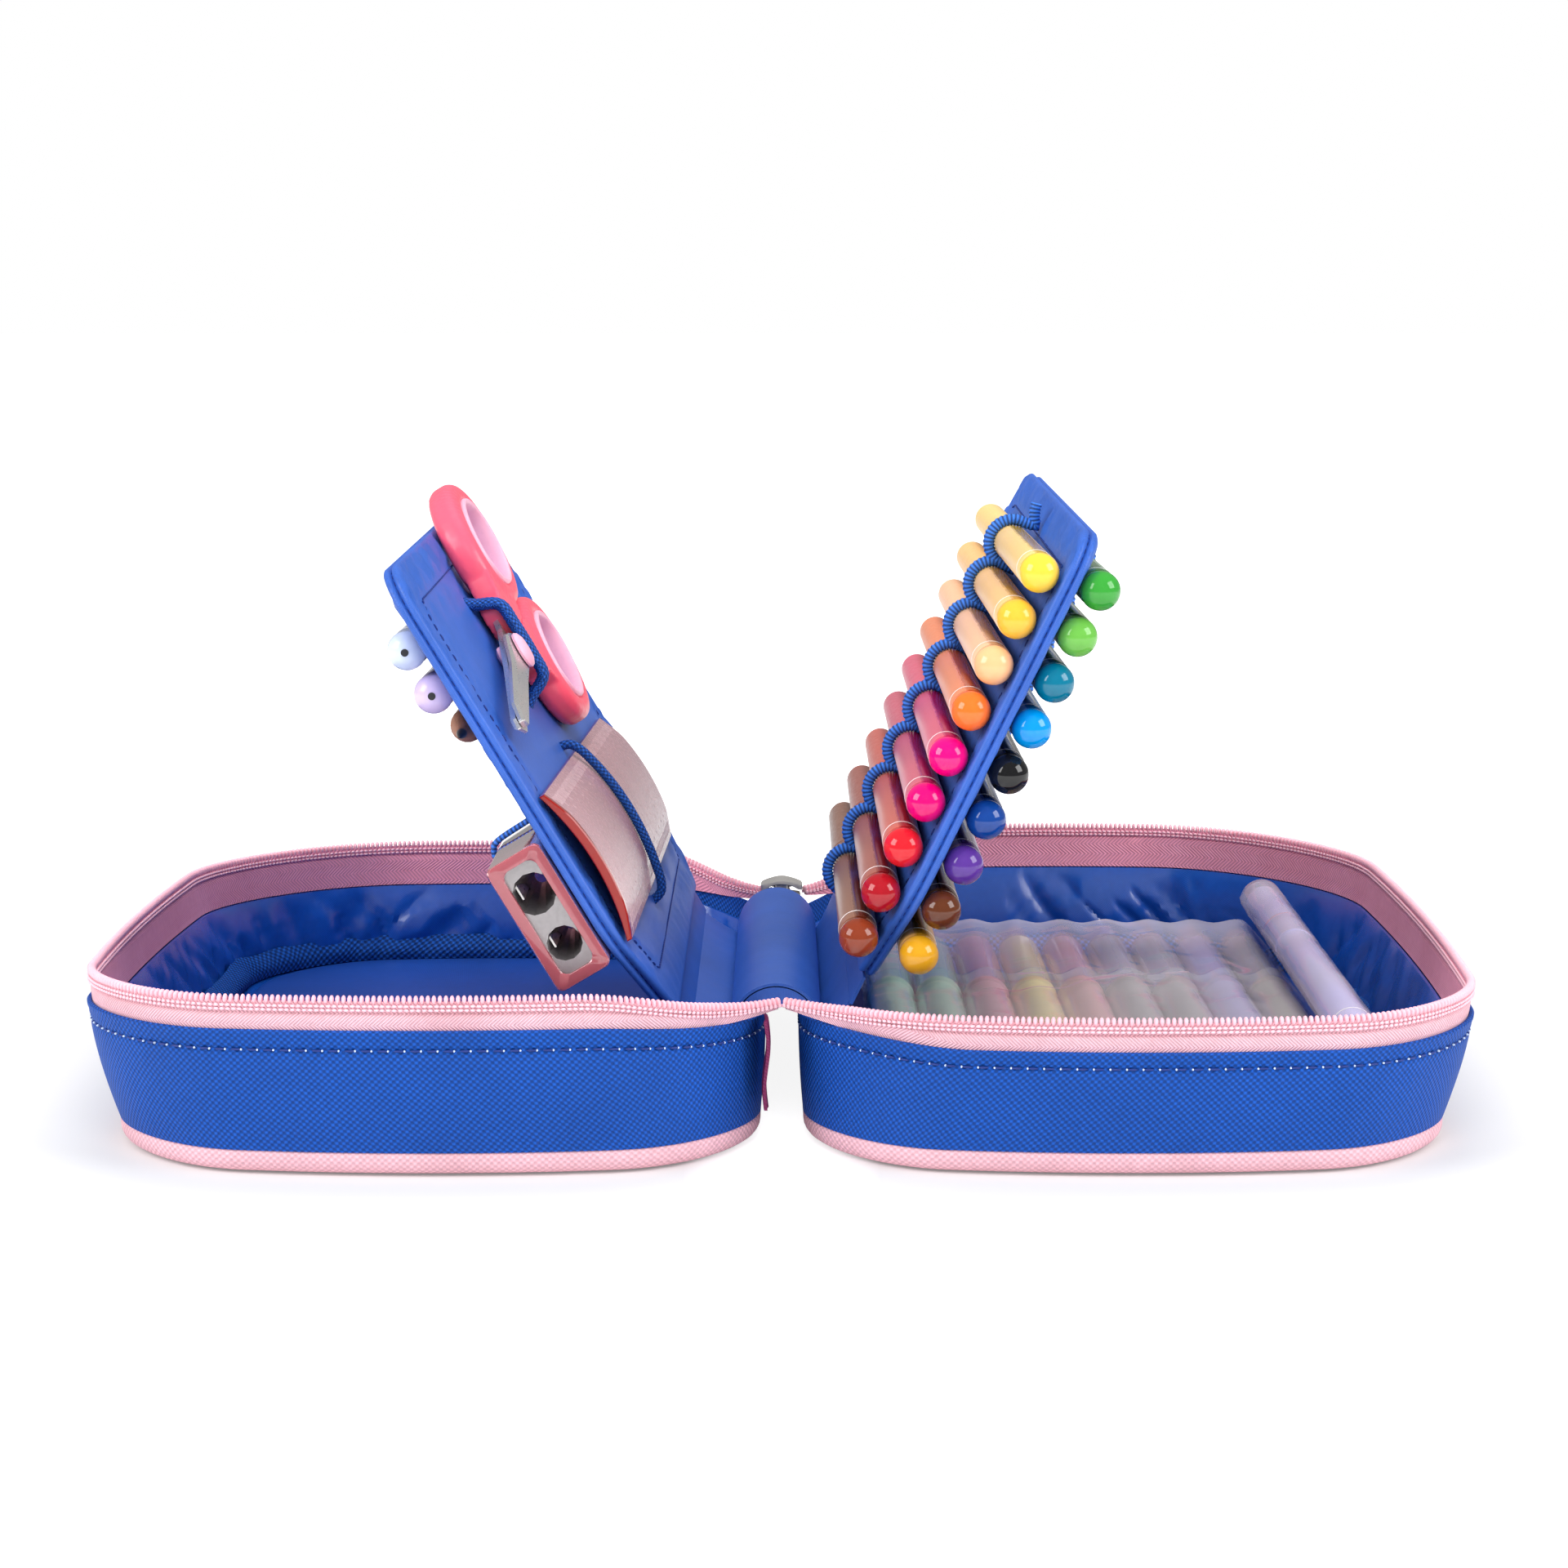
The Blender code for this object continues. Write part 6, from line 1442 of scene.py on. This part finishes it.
def dress_fold():
    dress_roll()
    dress_webs()
    dress_slider()
    # Tab at the zip's fastened end
    tab_x, tab_y, tab_fall = 3.2, -81.5, 19.0
    rows = []
    for share in np.arange(17) / 16:
        z = rim_height(LEFT, np.array([[tab_x, tab_y]]))[0] - 3.9 - tab_fall * share
        half = 4.25 * (1 - 0.35 * share * share)
        middle = -tab_x + 0.45 * math.sin(share * math.tau)
        row = [(middle - 0.4 + 0.15 * math.cos(s * 3 + share * 5), tab_y + half * s, z) for s in np.linspace(-1, 1, 7)]
        rows.append(row + [(x + 0.7, y, z) for x, y, z in row[::-1]])
    piece(skinned("fold_tab", LOOKS["plum"], rows, angle=60, capped=True), "left_tray", "tab", "spine_tab")


# Camera, lamps and floor
FOCAL_PIXELS, PHOTO_PIXELS = 4049.17, 1920
CAMERA_AT, CAMERA_PITCH, CAMERA_YAW = (-0.229, -752.91, 177.561), 0.149, -0.001


def seen_share(net):
    """How much of the plain white surroundings a ray sees: all of it straight or through glass, less in a shine."""
    path = net.add("ShaderNodeLightPath")
    seen = net.math("MAXIMUM", path.outputs["Is Camera Ray"], path.outputs["Is Transmission Ray"])
    return net.math("MAXIMUM", seen, net.math("MULTIPLY", path.outputs["Is Glossy Ray"], 0.3))


def set_camera(scene):
    camera = bpy.data.cameras.new("camera")
    camera.sensor_width = 36.0
    camera.lens = FOCAL_PIXELS / PHOTO_PIXELS * camera.sensor_width
    camera.clip_start, camera.clip_end = 0.05, 20.0
    eye = bpy.data.objects.new("camera", camera)
    eye.location = Vector(CAMERA_AT) * MM
    eye.rotation_euler = (math.pi / 2 - CAMERA_PITCH, 0, CAMERA_YAW)
    scene.collection.objects.link(eye)
    scene.camera = eye


def set_floor():
    """A pale floor that keeps a soft shadow near the case and glows to plain white away from it. Its glow is weaker
    near the case, which paints shade round it over the real shadow, and full along the gap between the trays, which
    paints light into the shade there.
    """
    made, net, shader = start_material("pale floor")
    net.fill(shader, {"Roughness": 0.9, "Specular IOR Level": 0.1})
    seen = seen_share(net)
    net.fill(shader, {"Base Color": net.mix(seen, (0.9, 0.9, 0.9, 1.0), (0.56, 0.56, 0.56, 1.0))})
    spot = net.place("Object")
    across = net.math("ABSOLUTE", net.split(spot)[0])
    reach = net.add("ShaderNodeVectorMath", {0: spot}, operation="LENGTH").outputs["Value"]
    # Painted shade and light: little glow near the case, full glow along the gap between the trays and away from the
    # case.
    level = net.math("MAXIMUM", net.spread(reach, 0.2, 0.45, 0.2, 0.9), net.spread(across, 0.004, 0.02, 0.9, 0.2))
    glow = net.add("ShaderNodeEmission", {"Color": WHITE, "Strength": net.math("MULTIPLY", seen, level)})
    both = net.add("ShaderNodeAddShader", {0: shader.outputs[0], 1: glow.outputs[0]})
    net.fill(made.node_tree.nodes["Material Output"], {"Surface": both.outputs[0]})

    bm = bmesh.new()
    bm.faces.new([bm.verts.new((x / MM, y / MM, -0.05)) for x, y in ((-6, -3), (6, -3), (6, 12), (-6, 12))])
    floor = store("floor", bm, made, smooth=False)


def set_lights(scene):
    world = bpy.data.worlds.new("pale studio")
    scene.world = world
    world.use_nodes = True
    net = Net(world.node_tree)
    diffuse = net.math("MULTIPLY", net.add("ShaderNodeLightPath").outputs["Is Diffuse Ray"], 0.62)
    net.fill(world.node_tree.nodes["Background"],
             {"Color": WHITE, "Strength": net.math("MAXIMUM", seen_share(net), diffuse)})
    for name, place, power, shine in (("left softbox", (-1.15, -0.5, 0.8), 12.0, True),
                                      ("right softbox", (1.15, -0.5, 0.8), 12.0, True),
                                      ("front softbox", (0.0, -1.0, 0.95), 8.0, False),
                                      ("top softbox", (0.0, 0.5, 1.3), 9.0, False)):
        light = bpy.data.lights.new(name, "AREA")
        light.shape = "SQUARE"
        light.size = 0.8
        light.energy = power
        lamp = bpy.data.objects.new(name, light)
        lamp.location = place
        lamp.rotation_euler = (Vector((0, 0, 0.04)) - Vector(place)).to_track_quat("-Z", "Y").to_euler()
        lamp.visible_glossy = shine
        scene.collection.objects.link(lamp)


def set_stage():
    scene = bpy.context.scene
    set_camera(scene)
    set_floor()
    set_lights(scene)
    scene.view_settings.view_transform = "Standard"


def main():
    for hand in (LEFT, RIGHT):
        dress_tray(hand)
        dress_flap(hand)
    dress_fold()
    dress_pen_rows()
    dress_left_pens()
    dress_scissors()
    dress_ruler()
    dress_sharpener()
    dress_pouch()
    set_stage()


main()
